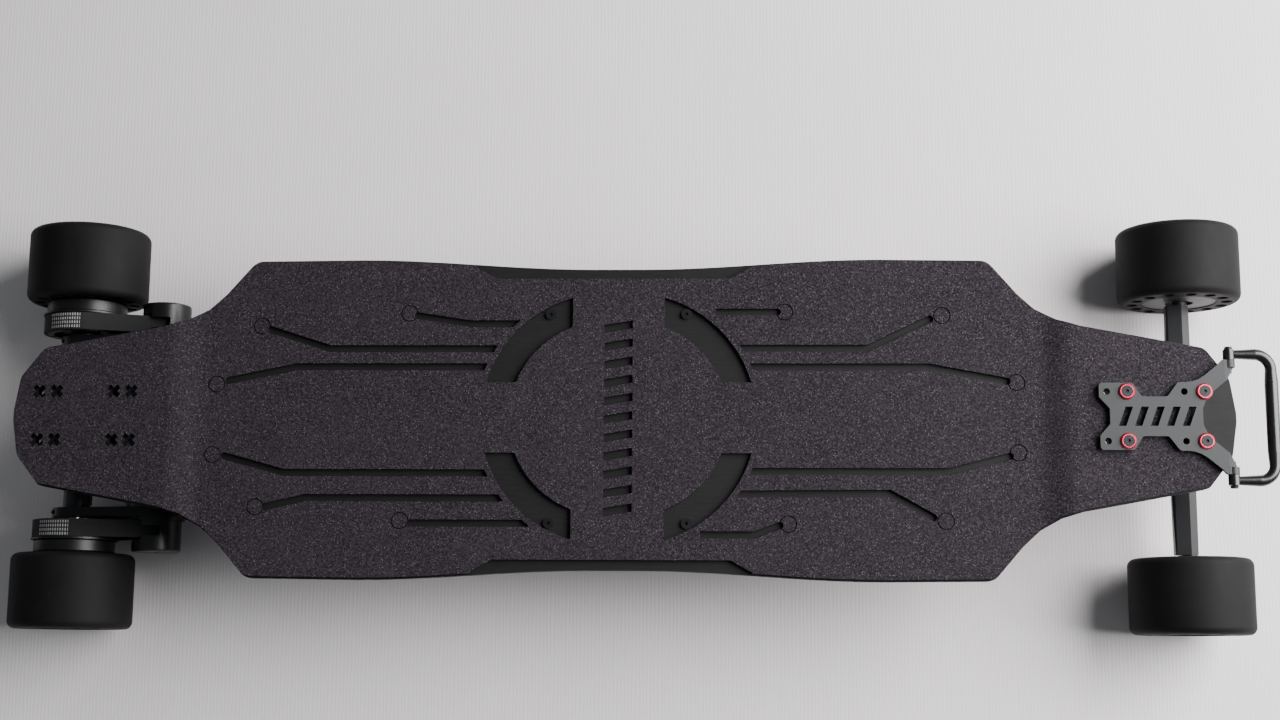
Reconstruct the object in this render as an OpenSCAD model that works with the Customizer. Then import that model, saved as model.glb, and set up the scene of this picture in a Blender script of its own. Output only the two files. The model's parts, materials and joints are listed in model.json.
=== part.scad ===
// Electric skateboard: dropped deck, reverse-kingpin trucks and two belt drives.
// Frame: +X towards the nose, +Y to the rider's left, +Z up, floor at Z = 0,
// origin on the floor under the middle of the whole board.

/* [Deck] */
// Length of the deck from nose to tail
deck_length = 1024; // [1016:2:1032]
// Greatest half width, over the foot platform
deck_half = 136; // [130:1:140]
// How much narrower each side is at the waist
waist = 8.5; // [4:0.5:12]
// Thickness of the laminate
deck_thick = 10; // [9:0.5:11]
// Height of the laminate's top face at the nose and tail
deck_top = 131; // [130:0.5:132]
// Drop of the foot platform below the nose and tail
drop = 8; // [5:0.5:10]
// Thickness of the grip foam
foam_thick = 4; // [3:0.25:4.25]
// Width of the long grooves in the foam
groove_w = 6; // [4:0.5:8]

/* [Trucks] */
// Front axle, ahead of the deck's middle
nose_axle = 489.5; // [486:0.5:492]
// Rear axle, behind the deck's middle
tail_axle = 481; // [478:0.5:484]
// Angle of each steering axis above the horizontal
steer_angle = 45; // [44:0.5:46]
// Bolt spacing along the board
bolt_long = 63.5; // [63:0.1:64]
// Bolt spacing across the board
bolt_wide = 41.275; // [41:0.05:41.6]
// Truck bolt diameter
bolt_d = 5; // [4.5:0.1:5.2]
// Axle diameter
axle_d = 8; // [7:0.5:8.5]

/* [Wheels] */
// Wheel diameter
wheel_d = 105; // [104:0.5:106]
// Wheel width
wheel_w = 65; // [60:1:66]
// Distance between the inner faces of a pair of wheels
track_gap = 223.6; // [223:0.2:225]
// Rounding of the tread's shoulders
shoulder = 11.5; // [8:0.5:12]
// Radius of the plastic core
core_r = 31; // [29:0.5:32]
// Number of cushioning holes through the tyre
tyre_holes = 14; // [8:1:16]

/* [Belt drive] */
// Teeth on each wheel pulley
wheel_teeth = 44; // [40:4:44]
// Teeth on each motor pulley
motor_teeth = 15; // [14:1:16]
// Teeth on each belt
belt_teeth = 60; // [60:1:61]
// Belt width
belt_w = 15; // [12:1:15]
// Motor diameter
motor_d = 56; // [50:1:57]

/* [Underbody] */
// Length of the battery box, over its flange
box_l = 644; // [630:2:650]
// Width of the battery box, over its flange
box_w = 198; // [194:1:202]
// Depth of the battery box below the deck
box_depth = 47; // [44:1:50]

/* [Carry handle] */
// Thickness of the grip bar
grip_d = 11; // [9:0.5:12]
// Reach of the grip bar ahead of its pivot
grip_reach = 34; // [30:1:38]

/* [Hidden] */

big = 400;             // longer than any cut across the board
gap = 0.3;             // clearance between bodies that move apart
axle_z = wheel_d / 2;
steer = 90 - steer_angle;

// deck outline and heights
foam_top = deck_top + foam_thick;
platform_top = deck_top - drop;
ramp_start = 345;
ramp_run = 36;
ramp_steps = 12;        // straight pieces that make up each ramp
belly = platform_top - deck_thick;

// truck mounting
riser_thick = 2.5;
plate_top = deck_top - deck_thick - riser_thick;
plate_thick = 6;
plate_up = plate_top - axle_z;       // plate's top above the axle
set_front = 452.5;                   // middle of the bolt set in use, nose
spare_front = 436.2;                 // middle of the spare set, nose
set_rear = -443.2;                   // middle of the bolt set in use, tail
spare_rear = -458;                   // middle of the spare set, tail
sink_deep = 2.3;                     // depth of the tail's countersinks

// steering parts, measured along the steering axis (s) and the kingpin (k)
ring_s = 24;                         // middle of the bushing ring
ring_half = 5.5;                     // half the ring's thickness
bushing_r = 12.5;
seat_k = -20.7;                      // baseplate face under the upper bushing
cup_mouth = -12;                     // mouth of the pivot cup
kingpin_r = 4.75;
tower_half = 14;                     // half width of the pivot tower

// wheels
wheel_in = track_gap / 2;
wheel_mid = wheel_in + wheel_w / 2;
wheel_out = wheel_in + wheel_w;
bearing_r = 11;
bearing_w = 7;
bearing_in = wheel_in + 3.2;         // inner face of the inner bearing
bearing_out = wheel_out - 18.8;      // inner face of the outer bearing

// belt drive, HTD 5 mm
pitch = 5;
pitch_line = 0.5715;                 // pitch line above the pulley's teeth
belt_back = 1.72;                    // belt above the pulley's teeth
wheel_pr = wheel_teeth * pitch / (2 * PI);
motor_pr = motor_teeth * pitch / (2 * PI);
slack_len = (belt_teeth - (wheel_teeth + motor_teeth) / 2) * pitch;
centre = (slack_len + sqrt(pow(slack_len, 2) - 8 * pow(wheel_pr - motor_pr, 2))) / 4;
motor_x = -tail_axle + centre;
lean_in = asin((wheel_pr - motor_pr) / centre);   // slope of each belt run
belt_y = 83;                         // inner edge of the belt
mount_y = 72;                        // motor mount plate
mount_t = 8;
motor_end = 27;                      // inboard end of the motor

// handle and bracket
plate_z = foam_top + 5;              // top of the bracket
bracket_t = 4.5;
pivot_x = 507;
pivot_z = plate_z - 6;
arm_y = 47.5;                        // outer end of the bracket's arms
bend_r = 13;
grip_x = pivot_x + grip_reach;
leg_y = 52.5;
hub_l = 8.4;            // length of each of the handle's pivot hubs

// battery box
box_floor = belly - box_depth;
port_x = 230;
port_z = 93;
button_x = 180;
pad_y = -91;                         // face of the pads for the port and button
hinge_x = port_x + 14.5;
hinge_y = pad_y - 3.6;
cap_open = 120;         // how far the cap is swung open

mid_x = (grip_x + grip_d / 2 - tail_axle - wheel_d / 2) / 2;

// colours
black = "#16161a";
satin = "#26262b";
foam_colour = "#4a4450";
cast = "#3a3a40";
steel = "#a8a8ad";
red = "#d8435e";
urethane = "#8c2f3b";
tyre_colour = "#1d1c20";
core_colour = "#6a6a70";
belt_colour = "#222226";

// ---------- shared shapes ----------

// rounds one corner p between a and b, as points
function corner(a, p, b, r) = r == 0 ? [p] :
    let (u = (a - p) / norm(a - p),
         v = (b - p) / norm(b - p),
         half = acos(u * v) / 2,
         c = p + (u + v) / norm(u + v) * r / sin(half),
         s = p + u * r / tan(half) - c,
         e = p + v * r / tan(half) - c,
         start = atan2(s.y, s.x),
         turn = atan2(e.y, e.x) - start,
         sweep = turn > 180 ? turn - 360 : turn < -180 ? turn + 360 : turn,
         n = max(3, ceil(abs(sweep) / 15)))
    [for (i = [0:n]) c + r * [cos(start + sweep * i / n), sin(start + sweep * i / n)]];

// an outline of [x, y, corner radius] rows, as points
function rounded(rows) =
    let (n = len(rows), p = [for (q = rows) [q.x, q.y]])
    [for (i = [0:n - 1]) each corner(p[(i + n - 1) % n], p[i], p[(i + 1) % n], rows[i].z)];

// closes an upper half outline with its mirror image
function both_sides(rows) =
    concat(rows, [for (i = [len(rows) - 1:-1:0]) [rows[i].x, -rows[i].y, rows[i].z]]);

module at_board() {
    translate([-mid_x, 0, 0]) children();
}

// a truck's own frame: origin on the axle, +X outward from the board's middle
module at_truck(end) {
    translate([end > 0 ? nose_axle : -tail_axle, 0, axle_z])
        mirror([end > 0 ? 0 : 1, 0, 0]) children();
}

// +Z along the steering axis, +X along the kingpin towards its nut
module on_steering() {
    rotate([0, steer, 0]) children();
}

// the kingpin's frame: +Z along the kingpin, origin in the bushing ring
module on_kingpin() {
    on_steering() translate([0, 0, ring_s]) rotate([0, 90, 0]) children();
}

// a wheel's frame: side 1 is left and -1 is right, +Z away from the board
module at_wheel(end, side) {
    translate([end > 0 ? nose_axle : -tail_axle, 0, axle_z])
        rotate([side > 0 ? -90 : 90, 0, 0]) children();
}

// the motor's frame, like a wheel's
module at_motor(side) {
    translate([motor_x, 0, axle_z]) rotate([side > 0 ? -90 : 90, 0, 0]) children();
}

// an XZ outline given width along Y
module across(y0, y1) {
    translate([0, y1, 0]) rotate([90, 0, 0]) linear_extrude(y1 - y0) children();
}

module ring(r1, r0, h) {
    difference() {
        cylinder(r = r1, h = h, $fn = 64);
        translate([0, 0, -1]) cylinder(r = r0, h = h + 2, $fn = 64);
    }
}

module bolt_places(mid) {
    for (i = [-1, 1], j = [-1, 1])
        translate([mid + i * bolt_long / 2, j * bolt_wide / 2]) children();
}

// half a groove's width to one side of each of its points, mitred at the turns
function stroke_side(p, w) =
    let (n = len(p), dir = [for (i = [0:n - 2]) (p[i + 1] - p[i]) / norm(p[i + 1] - p[i])])
    [for (i = [0:n - 1]) let (a = dir[max(i - 1, 0)], b = dir[min(i, n - 2)], m = (a + b) / (1 + a * b))
        w / 2 * [-m.y, m.x]];

// a straight-sided groove along a few points, round at its start
module stroke(points, w) {
    side = stroke_side(points, w);
    n = len(points);
    start = atan2(side[0].y, side[0].x);
    polygon(concat([for (i = [0:n - 1]) points[i] + side[i]], [for (i = [n - 1:-1:0]) points[i] - side[i]],
        [for (a = [165:-15:15]) points[0] + w / 2 * [cos(start + a), sin(start + a)]]));
}

// a round tube swept along points with a ring of sides at each one
module swept_tube(path, r, sides) {
    n = len(path);
    dirs = [for (i = [0:n - 1]) path[min(i + 1, n - 1)] - path[max(i - 1, 0)]];
    rings = [for (i = [0:n - 1])
        let (t = dirs[i] / norm(dirs[i]),
             u = cross(t, [0, 1, 0]) / norm(cross(t, [0, 1, 0])),
             v = cross(t, u))
        each [for (k = [0:sides - 1]) path[i] + r * (cos(360 * k / sides) * u + sin(360 * k / sides) * v)]];
    walls = [for (i = [0:n - 2], k = [0:sides - 1])
        let (a = i * sides + k, b = i * sides + (k + 1) % sides)
        each [[a, b, b + sides], [a, b + sides, a + sides]]];
    polyhedron(rings, concat(walls, [[for (k = [sides - 1:-1:0]) k]],
        [[for (k = [0:sides - 1]) (n - 1) * sides + k]]));
}

// ---------- deck ----------

function waist_at(x) = let (t = min(1, max(0, (abs(x) - 20) / 200)))
    deck_half - waist * (1 + cos(180 * t)) / 2;

// upper edge of the nose half: the platform, its corner, the neck and the tip
function edge_rows(inset) =
    let (tip = deck_length / 2)
    concat([for (x = [20:20:220]) [x, waist_at(x) - inset, 0]],
           [[311, deck_half - 1 - inset, 12],
            [355.5, 83.3 - inset, 88],
            [tip - 24.5, 58.7 - inset, 7],
            [tip - 4.5 - inset, 33, 14],
            [tip - inset, 4, 30]]);

module deck_outline(inset) {
    nose = both_sides(edge_rows(inset));
    n = len(nose);
    tail = [for (i = [n - 1:-1:0]) [-nose[i].x, nose[i].y, nose[i].z]];
    // the tail half starts at its lower waist, so the loop closes at the upper one
    polygon(rounded(concat(nose, tail)));
}

function drop_at(x) = let (t = min(1, max(0, (abs(x) - ramp_start) / ramp_run)))
    drop * (1 + cos(180 * t)) / 2;

// the deck's side view between two heights, each measured at the ends
module side_band(z0, z1) {
    xs = concat([-560], [for (i = [ramp_steps:-1:0]) -ramp_start - ramp_run * i / ramp_steps],
                [for (i = [0:ramp_steps]) ramp_start + ramp_run * i / ramp_steps], [560]);
    polygon(concat([for (x = xs) [x, z1 - drop_at(x)]],
                   [for (i = [len(xs) - 1:-1:0]) [xs[i], z0 - drop_at(xs[i])]]));
}

module slab(z0, z1) {
    across(-big / 2, big / 2) side_band(z0, z1);
}

screw_x = 57.5;
screw_y = 88.5;
module box_top_screw_places() {
    for (i = [-1, 1], j = [-1, 1]) translate([i * screw_x, j * screw_y]) children();
}

module deck() {
    color(satin) at_board() difference() {
        intersection() {
            linear_extrude(deck_top + 10) deck_outline(0);
            slab(deck_top - deck_thick, deck_top);
        }
        for (mid = [set_front, spare_front, set_rear, spare_rear])
            bolt_places(mid) cylinder(d = bolt_d + 0.5, h = big, $fn = 24);
        // the tail's screw heads sit below the foam
        bolt_places(set_rear) translate([0, 0, deck_top - sink_deep]) cylinder(r = 4.8, h = 10, $fn = 32);
        box_top_screw_places() cylinder(d = 5.6, h = big, $fn = 24);
    }
}

// ---------- grip foam ----------

// curved windows that leave the deck bare round the middle
window_mid = 9.7;
module windows() {
    for (end = [-1, 1]) intersection() {
        translate([end * window_mid, 0]) difference() {
            circle(r = 106.5, $fn = 180);
            circle(r = 82.5, $fn = 160);
        }
        for (j = [-1, 1]) translate([end * (38.9 + 50), j * (29.9 + 50)]) square(100, center = true);
    }
}

// each groove runs from a round dimple towards the windows
tail_grooves = [
    [[-304, 78], [-296, 75], [-245, 58.5], [-100, 58.5]],
    [[-341, 28], [-331, 31], [-272, 43], [-100, 43]],
    [[-178, 89], [-171, 87], [-126, 80], [-80, 80]],
    [[-342, -32], [-332, -33], [-281, -47], [-95, -47]],
    [[-304, -76], [-296, -76], [-262, -68], [-90, -68]],
    [[-182, -87], [-173, -89], [-74, -89]]
];
nose_grooves = [
    [[140, 90], [134, 90], [82, 90]],
    [[272, 87], [262, 84], [210, 59], [100, 59]],
    [[333, 30], [325, 31], [261, 43], [110, 43]],
    [[333, -29], [326, -32], [275, -45], [105, -45]],
    [[272, -86], [262, -83], [226, -63], [100, -64]],
    [[142, -89], [135, -90], [114, -98], [69, -98]]
];

module grooves() {
    difference() {
        for (g = concat(tail_grooves, nose_grooves)) stroke([for (i = [1:len(g) - 1]) g[i]], groove_w);
        for (end = [-1, 1]) translate([end * window_mid, 0]) circle(r = 111, $fn = 120);
    }
}

module dimples() {
    for (g = concat(tail_grooves, nose_grooves)) translate(g[0]) difference() {
        circle(d = 14.5, $fn = 40);
        circle(d = 12.7, $fn = 40);
    }
}

// plain slanted bars in the middle of the foam
bar_pitch = 15.5;
module middle_bars() {
    for (i = [-5:5]) translate([0, i * bar_pitch])
        polygon([[-12, -5.5], [12, -1.5], [12, 5.5], [-12, 1.5]]);
}

// bare strips along each edge at the waist
module edge_cuts() {
    for (j = [-1, 1]) polygon([[-122, j * 150], [-122, j * 129], [-104, j * 119],
        [94, j * 119], [112, j * 129], [112, j * 150]]);
}

module crosses() {
    for (mid = [set_rear, spare_rear]) bolt_places(mid) for (a = [45, -45])
        rotate(a) square([12, 4.4], center = true);
}

// the nose is bare between the bracket's arms
module bare_nose() {
    polygon([[475, -10], [475, 10], [498, 36], [530, 36], [530, -36], [498, -36]]);
}

module grip_foam() {
    color(foam_colour) at_board() difference() {
        intersection() {
            linear_extrude(foam_top + 10) difference() {
                deck_outline(1.5);
                windows();
                grooves();
                middle_bars();
                edge_cuts();
                crosses();
                bare_nose();
            }
            slab(deck_top, foam_top);
        }
        for (mid = [set_front, spare_front]) bolt_places(mid) cylinder(r = 4, h = big, $fn = 24);
        translate([0, 0, foam_top - drop - 1]) linear_extrude(drop + 3) dimples();
    }
}

// ---------- front bracket and handle ----------

bracket_rows = both_sides([
    [406.5, 6.5, 1.5], [398, 16, 1.5], [398, 28, 3], [426, 28, 3], [433, 16.5, 3], [454, 16.5, 3],
    [463, 28.5, 3], [478, 28.5, 25], [497, 44, 4], [500.5, arm_y, 0], [511.8, arm_y, 0], [511, 42, 8],
    [504, 31, 20], [487, 17, 20], [482.5, 6.5, 4]
]);

// one ring of outline: the inner edge is the end of the list, so the halves are joined crosswise
function bracket_points() =
    let (half = [for (i = [0:14]) bracket_rows[i]],
         other = [for (i = [14:-1:0]) [half[i].x, -half[i].y, half[i].z]])
    rounded(concat(half, other));

module bracket_slots() {
    for (i = [0:4]) translate([420 + 13 * i, 0]) polygon([[-6.5, -8], [-0.5, -8], [5.5, 8], [-0.5, 8]]);
}

module front_bracket() {
    color("#4b5052") at_board() difference() {
        union() {
            intersection() {
                linear_extrude(plate_z + 10) polygon(bracket_points());
                across(-60, 60) polygon([[380, plate_z], [380, plate_z - bracket_t],
                    [500, plate_z - bracket_t], [512, plate_z - 13], [512, plate_z - 8], [502, plate_z]]);
            }
            for (j = [-1, 1]) translate([pivot_x, j * arm_y, pivot_z]) rotate([j * 90, 0, 0])
                cylinder(r = 4.8, h = 6, $fn = 48);
        }
        for (mid = [set_front, spare_front]) bolt_places(mid) cylinder(d = bolt_d + 0.5, h = big, $fn = 24);
        translate([0, 0, 100]) linear_extrude(100) bracket_slots();
        for (j = [-1, 1]) translate([pivot_x, j * (arm_y + 1), pivot_z]) rotate([j * 90, 0, 0])
            cylinder(r = 2.03, h = 14, $fn = 32);
    }
}

module cup_washers() {
    color(red) at_board() translate([0, 0, plate_z]) bolt_places(set_front) rotate_extrude($fn = 48)
        polygon([[bolt_d / 2 + 0.1, 0], [6.8, 0], [6.8, 0.8], [5.6, 2.4], [4.8, 2.4],
            [bolt_d / 2 + 0.1, 0.4]]);
}

// screw with a countersunk head and a hexagon socket, its head's top at the origin
module socket_screw(d, head, length) {
    difference() {
        rotate_extrude($fn = 40) polygon([[0, 0], [head / 2, 0], [d / 2, -(head - d) / 2],
            [d / 2, -length], [0, -length]]);
        translate([0, 0, -1.8]) cylinder(d = d * 0.62, h = 3, $fn = 6);
    }
}

module truck_bolts() {
    foot = plate_top - plate_thick - 7;
    color(black) at_board() {
        bolt_places(set_front) translate([0, 0, plate_z + 2.7]) socket_screw(bolt_d, 9, plate_z + 2.7 - foot);
        bolt_places(set_rear) translate([0, 0, deck_top - 0.1]) socket_screw(bolt_d, 9, deck_top - 0.1 - foot);
    }
}

module truck_nuts() {
    color(steel) at_board() for (mid = [set_front, set_rear]) bolt_places(mid)
        translate([0, 0, plate_top - plate_thick - 5]) difference() {
            cylinder(r = 4.6, h = 5, $fn = 6);
            translate([0, 0, -1]) cylinder(d = bolt_d, h = 7, $fn = 32);
        }
}

module handle_side() {
    translate([pivot_x, arm_y + gap, pivot_z]) rotate([-90, 0, 0]) cylinder(r = 4.7, h = hub_l, $fn = 48);
    translate([pivot_x, leg_y, pivot_z]) rotate([0, 90, 0])
        cylinder(r1 = 3.4, r2 = 4.7, h = grip_reach - bend_r, $fn = 40);
    translate([grip_x - bend_r, leg_y - bend_r, pivot_z]) rotate_extrude(angle = 90, $fn = 64)
        translate([bend_r, 0]) circle(r = 4.7, $fn = 40);
    translate([grip_x, leg_y - bend_r, pivot_z]) rotate([90, 0, 0])
        cylinder(r1 = 4.7, r2 = grip_d / 2, h = 10, $fn = 40);
}

module handle() {
    color(black) at_board() difference() {
        union() {
            handle_side();
            mirror([0, 1, 0]) handle_side();
            translate([grip_x, 0, pivot_z]) rotate([90, 0, 0])
                cylinder(d = grip_d, h = 2 * (leg_y - bend_r - 10), center = true, $fn = 48);
        }
        translate([pivot_x, 0, pivot_z]) rotate([90, 0, 0]) cylinder(r = 2.08, h = 130, center = true, $fn = 40);
    }
}

module handle_bolts() {
    head_y = arm_y + gap + hub_l + 0.4;
    color(black) at_board() for (j = [-1, 1]) translate([pivot_x, j * head_y, pivot_z])
        rotate([j * -90, 0, 0]) difference() {
            union() {
                cylinder(r1 = 3.6, r2 = 3, h = 2.3, $fn = 40);
                translate([0, 0, -20]) cylinder(r = 2, h = 20.5, $fn = 32);
            }
            translate([0, 0, 1]) cylinder(r = 1.5, h = 3, $fn = 6);
        }
}

// ---------- trucks ----------

plate_mid = -37.4;                   // plate's middle from the axle
module plate_bolt_places(end) {
    mid = end > 0 ? set_front - nose_axle : -(set_rear + tail_axle);
    bolt_places(mid) children();
}

module risers() {
    color(black) at_board() for (end = [-1, 1]) at_truck(end) translate([0, 0, plate_up]) difference() {
        translate([plate_mid, 0, 0]) linear_extrude(riser_thick)
            polygon(rounded([[-44, -29, 8], [44, -29, 8], [44, 29, 8], [-44, 29, 8]]));
        plate_bolt_places(end) translate([0, 0, -5]) cylinder(d = bolt_d + 0.5, h = 20, $fn = 24);
    }
}

module baseplate(end) {
    foot = plate_up - plate_thick;
    at_truck(end) difference() {
        union() {
            translate([plate_mid, 0, foot]) linear_extrude(plate_thick)
                polygon(rounded([[-43, -28, 7], [43, -28, 7], [43, 28, 7], [-43, 28, 7]]));
            // pivot tower
            across(-tower_half, tower_half) polygon([[-74, foot + 1], [-32, foot + 1], [-28, 16],
                [-20.5, -1], [-21, -14], [-32, -13], [-42, 2], [-62, 42]]);
            on_steering() translate([0, 0, cup_mouth - 14]) cylinder(r = 12.3, h = 14, $fn = 48);
            // side ribs
            for (j = [-1, 1]) across(j * 20 - 2.5, j * 20 + 2.5) polygon([[-62, foot + 1], [-16, foot + 1],
                [-20, foot - 4], [-46, foot - 12], [-58, foot - 4]]);
            across(-22, 22) polygon([[-60, foot + 1], [-36, foot + 1], [-37, foot - 8], [-52, foot - 8]]);
            // kingpin boss
            on_kingpin() translate([0, 0, -50]) cylinder(r = 14, h = seat_k + 50, $fn = 56);
            across(-6, 6) polygon([[-50, foot + 1], [-14, foot + 1], [-22, foot - 14], [-34, foot - 22]]);
        }
        on_kingpin() translate([0, 0, -90]) cylinder(r = kingpin_r + 0.05, h = 90, $fn = 40);
        on_kingpin() translate([0, 0, -90]) cylinder(r = 9, h = 48, $fn = 40);
        on_steering() translate([0, 0, cup_mouth - 10]) cylinder(r = 9.5, h = 30, $fn = 48);
        plate_bolt_places(end) translate([0, 0, foot - 10]) cylinder(d = bolt_d + 0.5, h = 30, $fn = 24);
        // room for the four nuts
        plate_bolt_places(end) translate([0, 0, foot - 40]) cylinder(r = 6, h = 40, $fn = 32);
        translate([-100, -50, plate_up]) cube([200, 100, 50]);
        // hollow between the tower's walls, open towards the tail
        across(-8, 8) polygon([[-90, foot - 5], [-58, foot - 5], [-38, 8], [-90, 8]]);
    }
}

module baseplate_front() {
    color(cast) at_board() baseplate(1);
}

module baseplate_rear() {
    color(cast) at_board() baseplate(-1);
}

module pivot_cups() {
    color(urethane) at_board() for (end = [-1, 1]) at_truck(end) on_steering() translate([0, 0, cup_mouth - 10])
        difference() {
            cylinder(r = 9.5, h = 10, $fn = 48);
            translate([0, 0, 1.5]) cylinder(r1 = 5.4, r2 = 7.2, h = 9, $fn = 48);
        }
}

module kingpins() {
    color(steel) at_board() for (end = [-1, 1]) at_truck(end) on_kingpin() {
        translate([0, 0, -48]) cylinder(r = 8, h = 6, $fn = 6);
        translate([0, 0, -42]) cylinder(r = kingpin_r, h = 70, $fn = 40);
    }
}

module bushing_pair(end) {
    at_truck(end) on_kingpin() {
        translate([0, 0, seat_k + 1.5]) ring(bushing_r, kingpin_r + 0.1, -seat_k - 1.5 - ring_half - 0.1);
        difference() {
            translate([0, 0, ring_half + 0.1]) cylinder(r1 = bushing_r, r2 = 10.5, h = 12.4, $fn = 56);
            cylinder(r = kingpin_r + 0.1, h = 30, $fn = 40);
        }
    }
}

module bushings_front() {
    color(urethane) at_board() bushing_pair(1);
}

module bushings_rear() {
    color(urethane) at_board() bushing_pair(-1);
}

module kingpin_washers() {
    color(steel) at_board() for (end = [-1, 1]) at_truck(end) on_kingpin() {
        translate([0, 0, seat_k]) ring(13.2, kingpin_r, 1.5);
        translate([0, 0, ring_half + 12.5]) ring(12, kingpin_r, 1.5);
    }
}

module kingpin_nuts() {
    color(steel) at_board() for (end = [-1, 1]) at_truck(end) on_kingpin()
        translate([0, 0, ring_half + 14]) difference() {
            union() {
                cylinder(r = 8.1, h = 5, $fn = 6);
                cylinder(r = 6.6, h = 7, $fn = 40);
            }
            translate([0, 0, -1]) cylinder(r = kingpin_r, h = 9, $fn = 40);
        }
}

// the forged middle of a hanger: bushing ring, body and pivot nose
module hanger_middle() {
    on_steering() {
        translate([0, 0, cup_mouth + 1]) cylinder(r = 13.5, h = 20, $fn = 56);
        rotate_extrude($fn = 48) polygon([[0, cup_mouth + 2], [9, cup_mouth + 2], [6.6, cup_mouth + 0.5],
            [5, cup_mouth - 6], [4.2, cup_mouth - 7.8], [0, cup_mouth - 8.3]]);
        translate([-ring_half, -14.5, 0]) cube([2 * ring_half, 29, ring_s - 8]);
    }
    on_kingpin() translate([0, 0, -ring_half]) cylinder(r = 16.5, h = 2 * ring_half, $fn = 64);
}

// bar with a ridge along its top, narrower towards its ends
module hanger_bar(half) {
    intersection() {
        across(-half, half) polygon([[-15.5, 4], [-13.5, -1], [-7.5, -7.5], [0, -10.5], [7.5, -5],
            [7.5, 3], [-0.5, 9.5], [-12, 7]]);
        translate([0, 0, -50]) linear_extrude(100) polygon([[-15.5, -18], [-13, -half], [7, -half], [7.5, -18],
            [7.5, 18], [7, half], [-13, half], [-15.5, 18]]);
    }
    // fillet webs from the bar up to the middle
    for (j = [-1, 1]) intersection() {
        across(-40, 40) polygon([[-9, 0], [-9, 10], [6, 14], [7, 0]]);
        translate([0, 0, -5]) rotate([90, 0, 90]) linear_extrude(60, center = true)
            polygon([[0, 0], [0, 24], [j * 12, 22], [j * 38, 10], [j * 38, 0]]);
    }
}

module kingpin_room() {
    on_kingpin() {
        cylinder(r = 7, h = 2 * ring_half + 2, center = true, $fn = 48);
        // the bushings' seats stay clear of the body
        translate([0, 0, -30 - ring_half]) cylinder(r = bushing_r + 0.6, h = 30, $fn = 48);
        translate([0, 0, ring_half]) cylinder(r = bushing_r + 0.6, h = 30, $fn = 48);
    }
}

module hanger_front() {
    half = wheel_in - 3;
    color(cast) at_board() at_truck(1) difference() {
        union() {
            hanger_bar(half);
            hanger_middle();
            rotate([90, 0, 0]) cylinder(r = 6.5, h = 2 * (bearing_in - 1.8), center = true, $fn = 48);
        }
        kingpin_room();
        rotate([90, 0, 0]) cylinder(d = axle_d, h = big, center = true, $fn = 40);
    }
}

module hanger_rear() {
    color(cast) at_board() at_truck(-1) difference() {
        union() {
            hanger_bar(mount_y - 3);
            hanger_middle();
            // round ends that carry the motor mounts
            rotate([90, 0, 0]) cylinder(r = 11.5, h = 2 * (mount_y + mount_t), center = true, $fn = 48);
        }
        kingpin_room();
        on_steering() translate([0, 0, cup_mouth - 30]) difference() {
            cylinder(r = 14, h = 31, $fn = 48);
            cylinder(r = 9.1, h = 33, $fn = 48);
        }
        rotate([90, 0, 0]) cylinder(d = axle_d, h = big, center = true, $fn = 40);
    }
}

module axle(end) {
    length = 2 * (wheel_out - 2.6);
    at_truck(end) rotate([90, 0, 0]) {
        cylinder(d = axle_d, h = length - 4, center = true, $fn = 40);
        for (j = [-1, 1]) mirror([0, 0, j > 0 ? 0 : 1]) translate([0, 0, length / 2 - 2])
            cylinder(d1 = axle_d, d2 = axle_d - 2, h = 2, $fn = 40);
    }
}

module axle_front() {
    color(steel) at_board() axle(1);
}

module axle_rear() {
    color(steel) at_board() axle(-1);
}

// spacer between the bearings, two thin washers and the lock nut at each end of an axle
module axle_hardware(end, start) {
    for (side = [-1, 1]) at_wheel(end, side) {
        translate([0, 0, start]) ring(6.2, axle_d / 2, bearing_in - 0.2 - start);
        translate([0, 0, bearing_in + bearing_w + 0.2])
            ring(5.6, axle_d / 2, bearing_out - bearing_in - bearing_w - 0.4);
        translate([0, 0, bearing_out + bearing_w + 0.2]) ring(6.2, axle_d / 2, 0.9);
        translate([0, 0, bearing_out + bearing_w + 1.1]) difference() {
            union() {
                cylinder(r = 7.5, h = 5.5, $fn = 6);
                cylinder(r = 6, h = 7.4, $fn = 40);
            }
            translate([0, 0, -1]) cylinder(d = axle_d, h = 12, $fn = 40);
        }
    }
}

module axle_hardware_front() {
    color(steel) at_board() axle_hardware(1, bearing_in - 1.8);
}

module axle_hardware_rear() {
    color(steel) at_board() axle_hardware(-1, mount_y + mount_t);
}

// ---------- wheels ----------

module tyre() {
    color(tyre_colour) difference() {
        rotate_extrude($fn = 128) polygon(rounded([[core_r, wheel_in, 0], [wheel_d / 2, wheel_in, shoulder],
            [wheel_d / 2, wheel_out, shoulder], [core_r, wheel_out, 0]]));
        for (i = [0:tyre_holes - 1]) rotate((i + 0.5) * 360 / tyre_holes)
            translate([40, 0, wheel_in - 1]) cylinder(r = 4.5, h = wheel_w + 2, $fn = 24);
    }
}

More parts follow.
